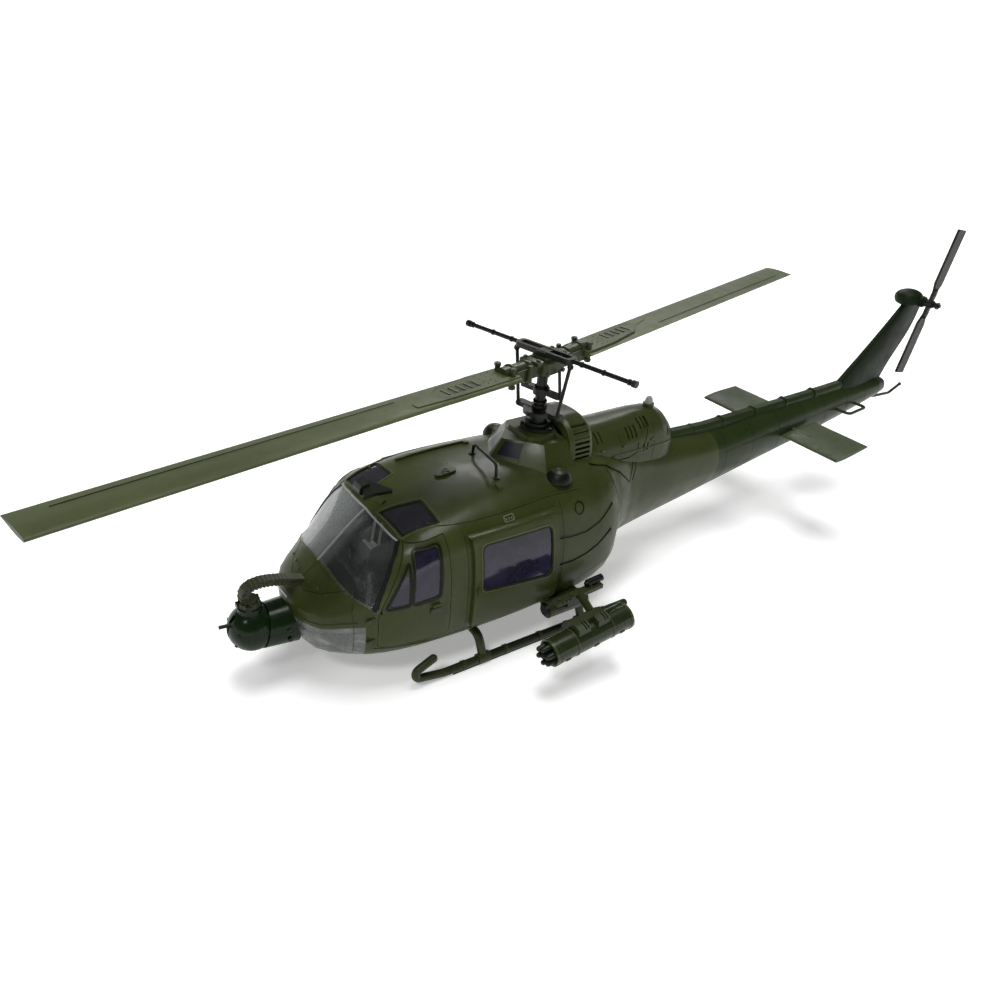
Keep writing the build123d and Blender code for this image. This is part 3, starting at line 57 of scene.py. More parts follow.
def noise(nt, scale, detail=4.0, rough=0.55, vec=None, distortion=0.0):
    n = nt.nodes.new("ShaderNodeTexNoise")
    n.inputs["Scale"].default_value = scale
    n.inputs["Detail"].default_value = detail
    n.inputs["Roughness"].default_value = rough
    n.inputs["Distortion"].default_value = distortion
    nt.links.new(vec if vec is not None else coords(nt), n.inputs["Vector"])
    return n.outputs["Fac"]


def ramp(nt, fac, stops):
    r = nt.nodes.new("ShaderNodeValToRGB")
    el = r.color_ramp.elements
    while len(el) < len(stops):
        el.new(0.5)
    for e, (p, c) in zip(el, stops):
        e.position = p
        e.color = (c[0], c[1], c[2], 1) if hasattr(c, "__len__") else (c, c, c, 1)
    nt.links.new(fac, r.inputs["Fac"])
    return r.outputs["Color"]


def mix(nt, fac, a, b, blend="MIX"):
    n = nt.nodes.new("ShaderNodeMix")
    n.data_type = "RGBA"
    n.blend_type = blend
    for sock, val in ((n.inputs[0], fac), (n.inputs[6], a), (n.inputs[7], b)):
        if isinstance(val, bpy.types.NodeSocket):
            nt.links.new(val, sock)
        elif hasattr(val, "__len__"):
            sock.default_value = (val[0], val[1], val[2], 1)
        else:
            sock.default_value = val
    return n.outputs[2]


def bump(nt, height, strength, distance, normal=None):
    b = nt.nodes.new("ShaderNodeBump")
    b.inputs["Strength"].default_value = strength
    b.inputs["Distance"].default_value = distance
    nt.links.new(height, b.inputs["Height"])
    if normal is not None:
        nt.links.new(normal, b.inputs["Normal"])
    return b.outputs["Normal"]


def plastic(name, rgb, rough=0.33, vary=0.18, spec=0.17, wear=0.16, grain=0.10, coat=0.05, painted_recess_shade=0.8):
    """Moulded, lightly painted styrene: mottled colour, paler edges, painted shade darkening the recesses, fine
    orange-peel.
    """
    m, nt, bsdf = new_mat(name)
    co = coords(nt)
    c = Vector(rgb)
    big = noise(nt, 45.0, 4.0, 0.6, co)
    col = ramp(nt, big, [(0.28, c * (1 - vary)), (0.52, c), (0.76, c * (1 + vary))])
    small = noise(nt, 900.0, 3.0, 0.6, co)
    col = mix(nt, ramp(nt, small, [(0.35, 0.0), (0.7, 0.22)]), col, c * 1.25)
    geo = nt.nodes.new("ShaderNodeNewGeometry")
    edge = ramp(nt, geo.outputs["Pointiness"], [(0.51, 0.0), (0.58, wear)])
    col = mix(nt, edge, col, [min(1, v * 1.8 + 0.012) for v in c])
    # painted shade: recesses (low pointiness) are darkened towards a fifth of the colour, as if in shadow
    recess_shade_mask = ramp(nt, geo.outputs["Pointiness"], [(0.43, painted_recess_shade), (0.495, 0.0)])
    col = mix(nt, recess_shade_mask, col, c * 0.2)
    nt.links.new(col, bsdf.inputs["Base Color"])
    rr = ramp(nt, noise(nt, 200.0, 5.0, 0.65, co), [(0.3, rough - 0.06), (0.7, rough + 0.10)])
    nt.links.new(rr, bsdf.inputs["Roughness"])
    bsdf.inputs["Specular IOR Level"].default_value = spec
    bsdf.inputs["Coat Weight"].default_value = coat
    bsdf.inputs["Coat Roughness"].default_value = 0.14
    fine = bump(nt, noise(nt, 2600.0, 2.0, 0.5, co), grain, 0.00004)
    nt.links.new(bump(nt, noise(nt, 120.0, 2.0, 0.5, co), 0.16, 0.0004, fine), bsdf.inputs["Normal"])
    return m


def clear(name, rgb, low, high, rough=0.05, streak=0.05, spec=0.9, side_reflection=0.26, streaks=False):
    """Clear moulding: see-through face on, more opaque and brighter at a glancing angle, with a painted reflection
    that makes it more opaque towards -X.
    """
    m, nt, bsdf = new_mat(name)
    co = coords(nt)
    c = Vector(rgb)
    n1 = noise(nt, 70.0, 3.0, 0.6, co)
    if streaks:
        mp = nt.nodes.new("ShaderNodeMapping")
        mp.inputs["Scale"].default_value = (0.6, 0.6, 1.6)
        nt.links.new(co, mp.inputs["Vector"])
        n1 = noise(nt, 150.0, 4.0, 0.6, mp.outputs["Vector"], 0.8)
        nt.links.new(ramp(nt, n1, [(0.38, c * 0.55), (0.52, c * 0.95), (0.68, c * 1.9)]), bsdf.inputs["Base Color"])
    else:
        nt.links.new(ramp(nt, n1, [(0.3, c * 0.9), (0.7, c)]), bsdf.inputs["Base Color"])
    nt.links.new(ramp(nt, noise(nt, 380.0, 4.0, 0.6, co), [(0.35, rough), (0.75, rough + streak)]), bsdf.inputs["Roughness"])
    lw = nt.nodes.new("ShaderNodeLayerWeight")
    lw.inputs["Blend"].default_value = 0.25
    facing = ramp(nt, lw.outputs["Facing"], [(0.25, low), (0.95, high)])
    haze0 = ramp(nt, noise(nt, 90.0, 3.0, 0.55, co, 1.2), [(0.50, 0.0), (0.72, 0.14)])
    # painted reflection: opacity rises towards -X so the pale base colour shows there like a reflection; random haze
    # is added on top
    sep = nt.nodes.new("ShaderNodeSeparateXYZ")
    nt.links.new(co, sep.inputs[0])
    mr_ = nt.nodes.new("ShaderNodeMapRange")
    mr_.inputs["From Min"].default_value = 0.004
    mr_.inputs["From Max"].default_value = -0.014
    mr_.inputs["To Min"].default_value = 0.0
    mr_.inputs["To Max"].default_value = side_reflection
    nt.links.new(sep.outputs["X"], mr_.inputs["Value"])
    haze_reflection_add = nt.nodes.new("ShaderNodeMath")
    haze_reflection_add.operation = "ADD"
    nt.links.new(haze0, haze_reflection_add.inputs[0])
    nt.links.new(mr_.outputs["Result"], haze_reflection_add.inputs[1])
    haze_and_reflection = haze_reflection_add.outputs[0]
    add = nt.nodes.new("ShaderNodeMath")
    add.operation = "ADD"
    add.use_clamp = True
    nt.links.new(facing, add.inputs[0])
    nt.links.new(haze_and_reflection, add.inputs[1])
    nt.links.new(add.outputs[0], bsdf.inputs["Alpha"])
    bsdf.inputs["Specular IOR Level"].default_value = spec
    bsdf.inputs["IOR"].default_value = 1.49
    nt.links.new(bump(nt, noise(nt, 60.0, 2.0, 0.5, co), 0.12, 0.0006), bsdf.inputs["Normal"])
    return m


def dark_glass(name, rgb, top_rgb, rough=0.07, spec=0.38):
    """Tinted door glazing, darker and bluer to the top; the lighter lower part is a painted reflection."""
    m, nt, bsdf = new_mat(name)
    co = coords(nt)
    sep = nt.nodes.new("ShaderNodeSeparateXYZ")
    nt.links.new(co, sep.inputs[0])
    # painted reflection: the lighter colour below z 27 mm fades to the darker top colour by z 41 mm
    mr = nt.nodes.new("ShaderNodeMapRange")
    mr.inputs["From Min"].default_value = 0.027
    mr.inputs["From Max"].default_value = 0.041
    nt.links.new(sep.outputs["Z"], mr.inputs["Value"])
    cloud = noise(nt, 110.0, 3.0, 0.6, co, 1.5)
    col = mix(nt, mr.outputs["Result"], rgb, top_rgb)
    col = mix(nt, ramp(nt, cloud, [(0.42, 0.0), (0.66, 0.65)]), col, Vector(rgb) * 1.7)
    nt.links.new(col, bsdf.inputs["Base Color"])
    nt.links.new(ramp(nt, noise(nt, 300.0, 4.0, 0.6, co), [(0.3, rough), (0.7, rough + 0.06)]), bsdf.inputs["Roughness"])
    bsdf.inputs["Specular IOR Level"].default_value = spec
    nt.links.new(bump(nt, noise(nt, 120.0, 2.0, 0.5, co), 0.10, 0.0005), bsdf.inputs["Normal"])
    return m


OLIVE = plastic("olive_plastic", (0.0245, 0.0320, 0.0064))
FIN_M = plastic("fin_dark_green", (0.0050, 0.0098, 0.0024), rough=0.46, coat=0.0, spec=0.09)
OLIVE_DK = plastic("olive_dark", (0.019, 0.0255, 0.0080))
RIVET = plastic("rivet_olive", (0.0262, 0.0340, 0.0070), painted_recess_shade=0.0, wear=0.1)
BOOM = plastic("boom_olive", (0.0130, 0.0215, 0.0046), spec=0.13)
BOOM_RIVET = plastic("boom_rivet_olive", (0.0145, 0.0232, 0.0052), painted_recess_shade=0.0, wear=0.1)
POD = plastic("pod_olive", (0.023, 0.033, 0.0095), rough=0.24, coat=0.22)
BLADE = plastic("blade_olive", (0.050, 0.061, 0.0240), rough=0.42, grain=0.2, coat=0.0, spec=0.16)
STAB = plastic("stabilizer_olive", (0.034, 0.046, 0.0190), rough=0.42, grain=0.15, coat=0.0, spec=0.16)
CHUTE = plastic("chute_brown", (0.030, 0.0330, 0.0150), rough=0.45, coat=0.0, spec=0.2)
DARK = plastic("dark_green", (0.0060, 0.0080, 0.0045), rough=0.30)
# near-black: window rubber, also painted shade over the blister mouths
INK = plastic("rubber_black_and_shade", (0.0030, 0.0036, 0.0020), rough=0.38, wear=0.05, coat=0.0, painted_recess_shade=0.0)
LINE = plastic("panel_line", (0.0060, 0.0085, 0.0028), rough=0.5, wear=0.0, coat=0.0, spec=0.15, painted_recess_shade=0.0)
# turret ball, mount and their small fittings: near-black green, painted shade for the shadow under the nose
TURRET_SHADED = plastic("turret_green", (0.0040, 0.0125, 0.0026), rough=0.24, coat=0.05, spec=0.14)
METAL = plastic("gunmetal", (0.012, 0.0115, 0.0105), rough=0.36)
ROCKET = plastic("rocket_dark", (0.0075, 0.0110, 0.0050), rough=0.36)
CLEAR = clear("clear_moulding", (0.25, 0.265, 0.26), 0.05, 0.42, side_reflection=0.62)
CHIN = clear("chin_moulding", (0.085, 0.092, 0.085), 0.90, 0.97, rough=0.14, spec=0.75, streaks=True)
SMOKE = dark_glass("door_glazing", (0.0125, 0.0105, 0.024), (0.0035, 0.0030, 0.0070))
ROOFGLASS = dark_glass("roof_glazing", (0.013, 0.013, 0.018), (0.016, 0.016, 0.020))
PANE = dark_glass("pylon_pane", (0.0045, 0.0038, 0.0100), (0.0045, 0.0038, 0.0100), rough=0.34, spec=0.12)
LENS = plastic("beacon_lens", (0.20, 0.21, 0.18), rough=0.18, wear=0.0)
GREY = plastic("cabin_grey", (0.020, 0.023, 0.017), rough=0.5)
SEAT = plastic("seat_grey", (0.055, 0.062, 0.048), rough=0.5)
BLACK = plastic("panel_black", (0.005, 0.005, 0.005), rough=0.42)
STRAP = plastic("harness_webbing", (0.60, 0.62, 0.58), rough=0.6, wear=0.0, coat=0.0, painted_recess_shade=0.0)
LIGHTG = plastic("light_fitting", (0.085, 0.100, 0.062), rough=0.35, painted_recess_shade=0.0)
POST = plastic("clear_edge", (0.21, 0.22, 0.20), rough=0.20, wear=0.0, painted_recess_shade=0.0)
# window rims and roof window frames: lightened olive, a painted highlight on the raised frames
RIM_LIT = plastic("window_rim_highlight", (0.046, 0.057, 0.020), rough=0.28, painted_recess_shade=0.0)

ASSIGN = {
    "main_blades": BLADE, "stabilizer": STAB, "boom_left": BOOM, "boom_right": BOOM, "shaft_cover": BOOM,
    "roof_scoop": DARK, "grab_bar": DARK, "tail_skid": OLIVE_DK, "tail_rotor_hub": DARK, "tail_rotor_blades": DARK,
    "swash_base": DARK, "rotor_mast": DARK, "rotor_head": OLIVE_DK, "stabilizer_bar": DARK, "control_links": DARK,
    "turret_ball": TURRET_SHADED, "turret_mount": TURRET_SHADED, "launcher_barrel": METAL, "exhaust_pipe": METAL, "rockets": ROCKET,
    "windscreen": CLEAR, "chin_windows": CHIN, "roof_windows": ROOFGLASS,
    "crew_door_glass_left": SMOKE, "crew_door_glass_right": SMOKE, "cabin_door_glass_left": SMOKE,
    "cabin_door_glass_right": SMOKE, "pylon_glazing": PANE, "air_blisters": OLIVE_DK, "beacon": LENS,
    "cockpit_floor": GREY, "rear_bulkhead": GREY, "crew_seats": SEAT, "bench_seat": SEAT,
    "instrument_panel": BLACK, "centre_console": BLACK, "control_sticks": BLACK,
    "tail_fin": FIN_M, "gearbox_fairing": FIN_M, "feed_chute": CHUTE,
    "rocket_pod_left": POD, "rocket_pod_right": POD, "pod_mount_left": OLIVE_DK, "pod_mount_right": OLIVE_DK,
    "skid_left": OLIVE_DK, "skid_right": OLIVE_DK, "front_cross_tube": OLIVE_DK, "rear_cross_tube": OLIVE_DK,
    "loop_antennas": OLIVE_DK,
}
for n, o in NODES.items():
    mat = ASSIGN.get(n, OLIVE)
    o.data.materials.clear()
    o.data.materials.append(mat)


# ------------------------------------------------------------------ smooth mouldings
def smooth_group(angle):
    """Joins the tessellated faces of a moulding and shades them smooth, except across real edges."""
    ng = bpy.data.node_groups.new("smooth_%d" % angle, "GeometryNodeTree")
    ng.interface.new_socket("Geometry", in_out="INPUT", socket_type="NodeSocketGeometry")
    ng.interface.new_socket("Geometry", in_out="OUTPUT", socket_type="NodeSocketGeometry")
    gi = ng.nodes.new("NodeGroupInput")
    go = ng.nodes.new("NodeGroupOutput")
    rem = ng.nodes.new("GeometryNodeRemoveAttribute")
    rem.inputs["Name"].default_value = "custom_normal"
    weld = ng.nodes.new("GeometryNodeMergeByDistance")
    weld.inputs["Distance"].default_value = 0.000003
    s1 = ng.nodes.new("GeometryNodeSetShadeSmooth")
    s1.domain = "FACE"
    s2 = ng.nodes.new("GeometryNodeSetShadeSmooth")
    s2.domain = "EDGE"
    s2.inputs["Shade Smooth"].default_value = False
    ea = ng.nodes.new("GeometryNodeInputMeshEdgeAngle")
    cmp_ = ng.nodes.new("FunctionNodeCompare")
    cmp_.data_type = "FLOAT"
    cmp_.operation = "GREATER_THAN"
    cmp_.inputs[1].default_value = math.radians(angle)
    L = ng.links.new
    L(gi.outputs[0], rem.inputs["Geometry"])
    L(rem.outputs["Geometry"], weld.inputs["Geometry"])
    L(weld.outputs["Geometry"], s1.inputs["Geometry"])
    L(s1.outputs["Geometry"], s2.inputs["Geometry"])
    L(ea.outputs["Unsigned Angle"], cmp_.inputs[0])
    L(cmp_.outputs[0], s2.inputs["Selection"])
    L(s2.outputs["Geometry"], go.inputs[0])
    return ng


SMOOTH = smooth_group(30)
for n, o in NODES.items():
    if n in ("pylon_fairing", "shaft_cover", "roof_scoop"):
        continue
    md = o.modifiers.new("smooth", "NODES")
    md.node_group = SMOOTH


# ------------------------------------------------------------------ detail pieces
def bvh_of(names):
    verts, polys = [], []
    for n in names:
        o = NODES[n]
        off = len(verts)
        verts += [o.matrix_world @ v.co for v in o.data.vertices]
        polys += [[off + i for i in p.vertices] for p in o.data.polygons]
    return BVHTree.FromPolygons(verts, polys)


bpy.context.view_layer.update()
SKIN = bvh_of(["fuselage_left", "fuselage_right", "windscreen", "chin_windows", "roof_windows", "crew_door_left", "crew_door_right",
               "crew_door_glass_left", "crew_door_glass_right"])
DOORS = bvh_of(["crew_door_left", "crew_door_right"])
CABIN = bvh_of(["cabin_door_left", "cabin_door_right", "cabin_door_glass_left", "cabin_door_glass_right"])
TAIL = bvh_of(["boom_left", "boom_right"])
FIN = bvh_of(["tail_fin"])
COWLS = bvh_of(["engine_cowl"])
PYLON = bvh_of(["pylon_fairing", "pylon_glazing"])
PODS = bvh_of(["rocket_pod_left", "rocket_pod_right"])


def side_pt(tree, y, z, s):
    loc, nrm, _, _ = tree.ray_cast(W(60 * s, y, z), Vector((-s, 0, 0)))
    return None if loc is None else (loc, nrm if nrm.x * s > 0 else -nrm)


def top_pt(tree, x, y, z0=150.0):
    loc, nrm, _, _ = tree.ray_cast(W(x, y, z0), Vector((0, 0, -1)))
    return None if loc is None else (loc, nrm if nrm.z > 0 else -nrm)


def under_pt(tree, x, y):
    loc, nrm, _, _ = tree.ray_cast(W(x, y, -20), Vector((0, 0, 1)))
    return None if loc is None else (loc, nrm if nrm.z < 0 else -nrm)


def front_pt(tree, x, z):
    loc, nrm, _, _ = tree.ray_cast(W(x, -140, z), Vector((0, 1, 0)))
    return None if loc is None else (loc, nrm if nrm.y < 0 else -nrm)


def around_pt(tree, y, ang, zc):
    """On a section at a station, seen from its centre line outwards; ang from +X towards +Z."""
    d = Vector((math.cos(ang), 0, math.sin(ang)))
    loc, nrm, _, _ = tree.ray_cast(W(0, y, zc) + d * 0.06, -d)
    return None if loc is None else (loc, nrm if nrm.dot(d) > 0 else -nrm)


def piece(name, verts, faces, body, mat, smooth=True):
    me_ = bpy.data.meshes.new(name)
    me_.from_pydata([tuple(v) for v in verts], [], faces)
    me_.validate()
    b = bmesh.new()
    b.from_mesh(me_)
    bmesh.ops.recalc_face_normals(b, faces=b.faces)
    b.to_mesh(me_)
    b.free()
    if smooth:
        me_.shade_smooth()
        me_.set_sharp_from_angle(angle=math.radians(38))
    me_.materials.append(mat)
    ob = bpy.data.objects.new(name, me_)
    bpy.context.scene.collection.objects.link(ob)
    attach(ob, body)
    return ob


class Shape:
    """Several small solids gathered into one piece."""

    def __init__(self):
        self.v, self.f = [], []

    def strip(self, pts, width, height, closed=False, sink=0.06):
        """Raised strip that follows (point, normal) pairs; width and height in mm."""
        pts = [p for p in pts if p is not None]
        n = len(pts)
        if n < 2:
            return self
        base = len(self.v)
        w, h = width * MM / 2, height * MM
        for i, (p, nn) in enumerate(pts):
            a_ = pts[(i - 1) % n][0] if (closed or i > 0) else p
            b_ = pts[(i + 1) % n][0] if (closed or i < n - 1) else p
            t = (b_ - a_)
            if t.length < 1e-9:
                t = Vector((0, 1, 0))
            t.normalize()
            sd = nn.cross(t)
            if sd.length < 1e-6:
                sd = Vector((1, 0, 0))
            sd.normalize()
            for q in (p - sd * w - nn * sink * MM, p - sd * w * 0.72 + nn * h, p + sd * w * 0.72 + nn * h, p + sd * w - nn * sink * MM):
                self.v.append(q)
        last = n if closed else n - 1
        for i in range(last):
            j = (i + 1) % n
            for k in range(4):
                l = (k + 1) % 4
                self.f.append((base + 4 * i + k, base + 4 * i + l, base + 4 * j + l, base + 4 * j + k))
        if not closed:
            self.f.append((base, base + 1, base + 2, base + 3))
            e = base + 4 * (n - 1)
            self.f.append((e + 3, e + 2, e + 1, e))
        return self

    def dome(self, pt, r, h, seg=8):
        """Rivet head or low dome; r and h in mm."""
        if pt is None:
            return self
        p, nn = pt
        ax = nn.orthogonal().normalized()
        ay = nn.cross(ax)
        base = len(self.v)
        for rr, hh in ((1.0, -0.25), (0.92, 0.45), (0.5, 0.9)):
            for k in range(seg):
                a_ = 2 * math.pi * k / seg
                self.v.append(p + (ax * math.cos(a_) + ay * math.sin(a_)) * r * rr * MM + nn * h * hh * MM)
        self.v.append(p + nn * h * MM)
        for j in (0, 1):
            for k in range(seg):
                l = (k + 1) % seg
                self.f.append((base + j * seg + k, base + j * seg + l, base + (j + 1) * seg + l, base + (j + 1) * seg + k))
        for k in range(seg):
            self.f.append((base + 2 * seg + k, base + 2 * seg + (k + 1) % seg, base + 3 * seg))
        self.f.append(tuple(base + k for k in range(seg))[::-1])
        return self

    def rod(self, a_, b_, r0, r1=None, seg=14, ends=True):
        """Round bar from a to b (Vectors in metres), radii in mm."""
        r1 = r0 if r1 is None else r1
        d = (b_ - a_).normalized()
        ax = d.orthogonal().normalized()
        ay = d.cross(ax)
        base = len(self.v)
        for p, r in ((a_, r0), (b_, r1)):
            for k in range(seg):
                t = 2 * math.pi * k / seg
                self.v.append(p + (ax * math.cos(t) + ay * math.sin(t)) * r * MM)
        for k in range(seg):
            l = (k + 1) % seg
            self.f.append((base + k, base + l, base + seg + l, base + seg + k))
        if ends:
            self.f.append(tuple(base + k for k in range(seg))[::-1])
            self.f.append(tuple(base + seg + k for k in range(seg)))
        return self

    def ring(self, c, d, r_out, r_in, length, seg=24):
        """Collar round an axis; c is the middle of its start face, all sizes in mm."""
        d = d.normalized()
        ax = d.orthogonal().normalized()
        ay = d.cross(ax)
        base = len(self.v)
        for off, r in ((0, r_in), (0, r_out), (length, r_out), (length, r_in)):
            for k in range(seg):
                t = 2 * math.pi * k / seg
                self.v.append(c + d * off * MM + (ax * math.cos(t) + ay * math.sin(t)) * r * MM)
        for j in range(4):
            m_ = (j + 1) % 4
            for k in range(seg):
                l = (k + 1) % seg
                self.f.append((base + j * seg + k, base + j * seg + l, base + m_ * seg + l, base + m_ * seg + k))
        return self

    def box(self, c, ax, ay, az, sx, sy, sz, chamfer=0.12):
        """Box about c (Vector) along three unit directions, sizes in mm, with chamfered top edges."""
        base = len(self.v)
        for z_, k in ((-0.5, 1.0), (0.5 - chamfer, 1.0), (0.5, 1.0 - chamfer)):
            for x_, y_ in ((-0.5, -0.5), (0.5, -0.5), (0.5, 0.5), (-0.5, 0.5)):
                self.v.append(c + ax * x_ * sx * k * MM + ay * y_ * sy * k * MM + az * z_ * sz * MM)
        for j in (0, 1):
            for k in range(4):
                l = (k + 1) % 4
                self.f.append((base + 4 * j + k, base + 4 * j + l, base + 4 * j + 4 + l, base + 4 * j + 4 + k))
        self.f.append((base + 3, base + 2, base + 1, base))
        self.f.append((base + 8, base + 9, base + 10, base + 11))
        return self

    def make(self, name, body, mat, smooth=True):
        if not self.v:
            return None
        return piece(name, self.v, self.f, body, mat, smooth)


def dense(pts, step=0.8, closed=False):
    out = []
    n = len(pts)
    for i in range(n if closed else n - 1):
        a_, b_ = pts[i], pts[(i + 1) % n]
        k = max(1, int(math.hypot(b_[0] - a_[0], b_[1] - a_[1]) / step))
        for j in range(k):
            out.append((a_[0] + (b_[0] - a_[0]) * j / k, a_[1] + (b_[1] - a_[1]) * j / k))
    if not closed:
        out.append(pts[-1])
    return out


def round_poly(pts, r, seg=6):
    """Corners of a closed outline rounded with quadratic arcs."""
    out = []
    n = len(pts)
    for i in range(n):
        p, a_, b_ = Vector(pts[i]), Vector(pts[i - 1]), Vector(pts[(i + 1) % n])
        u = (a_ - p).normalized() * min(r, (a_ - p).length * 0.45)
        v = (b_ - p).normalized() * min(r, (b_ - p).length * 0.45)
        for k in range(seg + 1):
            t = k / seg
            q = (p + u) * (1 - t) ** 2 + p * 2 * t * (1 - t) + (p + v) * t ** 2
            out.append((q.x, q.y))
    return out


def grow(pts, d):
    """A closed outline moved outwards by d."""
    n = len(pts)
    area2 = sum(pts[i][0] * pts[(i + 1) % n][1] - pts[(i + 1) % n][0] * pts[i][1] for i in range(n))
    sgn = 1 if area2 > 0 else -1
    out = []
    for i in range(n):
        p, a_, b_ = Vector(pts[i]), Vector(pts[i - 1]), Vector(pts[(i + 1) % n])
        e1, e2 = (p - a_).normalized(), (b_ - p).normalized()
        n1, n2 = Vector((e1.y, -e1.x)) * sgn, Vector((e2.y, -e2.x)) * sgn
        m_ = (n1 + n2)
        m_ = m_ / max(0.25, m_.length_squared) * 2
        q = p + m_ * d
        out.append((q.x, q.y))
    return out


def spaced(pts, step, closed=False):
    """Points a fixed distance apart along a polyline."""
    pts = list(pts) + ([pts[0]] if closed else [])
    out, left = [], 0.0
    for a_, b_ in zip(pts, pts[1:]):
        d = math.hypot(b_[0] - a_[0], b_[1] - a_[1])
        t = left
        while t < d:
            out.append((a_[0] + (b_[0] - a_[0]) * t / d, a_[1] + (b_[1] - a_[1]) * t / d))
            t += step
        left = t - d
    return out


CREW_TRI = [(-53.3, 36.6), (-54.2, 27.3), (-58.9, 26.6)]
CREW_WIN = [(-51.3, 40.1), (-45.3, 41.0), (-46.2, 28.0), (-52.9, 27.3)]
CABIN_WIN = [(-33.7, 38.8), (-11.7, 38.2), (-11.2, 23.8), (-33.7, 26.2)]
ROOF_WIN = [(4.7, -52.5), (15.9, -51.9), (17.6, -42.4), (7.8, -42.4)]
CREW_EDGE = [(-52.9, 41.3), (-61.0, 26.3), (-62.1, 23.2), (-62.2, 15.0)]

for s, tag in ((1, "left"), (-1, "right")):
    door, cab = ("crew_door_l", "cabin_door_l") if s > 0 else ("crew_door_r", "cabin_door_r")
    # crew door: rubber round the two windows, rivets, handle plate
    sh = Shape()
    for outline, r in ((CREW_TRI, 0.6), (CREW_WIN, 1.0)):
        sh.strip([side_pt(DOORS, y, z, s) for y, z in dense(round_poly(grow(outline, 0.42), r + 0.3), 0.9, True)], 0.85, 0.20, True, sink=0.3)
    sh.make("crew_window_rubber_" + tag, door, INK)
    sh = Shape()
    for y, z in spaced([(-44.0, 41.8), (-44.0, 16.0), (-60.2, 15.4), (-60.4, 23.2), (-59.9, 25.2)], 1.7):
        sh.dome(side_pt(SKIN, y, z, s), 0.13, 0.07)
    for y, z in spaced([(-45.2, 26.2), (-59.6, 25.0)], 1.9):
        sh.dome(side_pt(SKIN, y, z, s), 0.12, 0.06)
    sh.make("crew_door_rivets_" + tag, door, RIVET)
    sh = Shape()
    pt = side_pt(SKIN, -47.2, 24.3, s)
    sh.box(pt[0] + Vector((s * 0.0002, 0, 0)), Vector((0, 1, 0)), Vector((0, 0, 1)), Vector((s, 0, 0)), 3.0, 1.3, 0.5)
    sh.make("crew_handle_plate_" + tag, door, OLIVE_DK)
    # hinge knuckles ahead of the crew door
    sh = Shape()
    for z in (16.6, 23.2):
        pt = side_pt(SKIN, -62.6, z, s)
        if pt:
            sh.rod(pt[0] + Vector((0, 0, -0.0010)), pt[0] + Vector((0, 0, 0.0010)), 0.42)
            sh.box(pt[0] + Vector((0, -0.0011, 0)), Vector((0, 1, 0)), Vector((0, 0, 1)), pt[1], 1.9, 1.3, 0.5)
    sh.make("crew_door_hinges_" + tag, "airframe", OLIVE_DK)
    # black strip along the pillar beside the windscreen
    sh = Shape()
    post = [(20.75, 25.9), (20.2, 30.3), (19.2, 34.8), (17.7, 38.6), (16.0, 41.0)]
    sh.strip([front_pt(SKIN, s * x, z) for x, z in dense(post, 0.9)], 1.25, 0.28)
    sh.make("windscreen_pillar_" + tag, "airframe", INK)
    # cabin door: window rim lightened as a painted highlight, rubber inside it, rivets
    sh = Shape()
    sh.strip([side_pt(CABIN, y, z, s) for y, z in dense(round_poly(grow(CABIN_WIN, 0.62), 2.3), 0.9, True)], 0.42, 0.20, True)
    sh.make("cabin_window_rim_" + tag, cab, RIM_LIT)
    sh = Shape()
    sh.strip([side_pt(CABIN, y, z, s) for y, z in dense(round_poly(grow(CABIN_WIN, 0.26), 2.0), 0.9, True)], 0.62, 0.12, True, sink=0.5)
    sh.make("cabin_window_rubber_" + tag, cab, INK)
    sh = Shape()
    for y, z in spaced([(-35.7, 40.4), (-9.8, 40.4), (-9.3, 16.2), (-35.7, 15.7)], 1.7, True):
        sh.dome(side_pt(CABIN, y, z, s), 0.13, 0.07)
    for y, z in spaced([(-35.0, 21.6), (-9.8, 20.6)], 1.7):
        sh.dome(side_pt(CABIN, y, z, s), 0.12, 0.06)
    sh.make("cabin_door_rivets_" + tag, cab, RIVET)
    # skin: rivet rows and engraved seams
    sh = Shape()
    rows = [[(-41.8, 43.4), (-41.8, 14.6)], [(-38.4, 42.0), (-38.4, 14.6)], [(-5.8, 41.8), (-5.8, 14.6)],
            [(-66.2, 9.8), (-66.2, 24.2)], [(-41.5, 44.1), (-8.0, 44.8), (6.0, 43.6)]]
    for row in rows:
        for y, z in spaced(row, 1.6):
            sh.dome(side_pt(SKIN, y, z, s), 0.12, 0.06)
    for xx, y in spaced([(3.4, -53.6), (15.0, -53.2)], 1.6):
        sh.dome(top_pt(SKIN, s * xx, y), 0.13, 0.07)
    sh.make("skin_rivets_" + tag, "airframe", RIVET)
    sh = Shape()
    for line in ([(-66.8, 8.4), (-66.8, 25.0), (-64.4, 30.5)], [(-37.8, 42.6), (-37.8, 12.0)], [(-6.6, 42.6), (-6.6, 12.0)],
                 [(-2.0, 16.4), (10.5, 20.6)], [(19.5, 43.2), (20.5, 34.0), (19.5, 18.6)]):
        sh.strip([side_pt(SKIN, y, z, s) for y, z in dense(line, 1.2)], 0.20, 0.035, sink=0.02)
    for line in ([(4.0, -70), (4.0, 6)], [(14.0, -62), (14.0, 4)]):
        sh.strip([under_pt(SKIN, s * x, y) for x, y in dense(line, 2.0)], 0.22, 0.035, sink=0.02)
    sh.make("panel_seams_" + tag, "airframe", LINE)
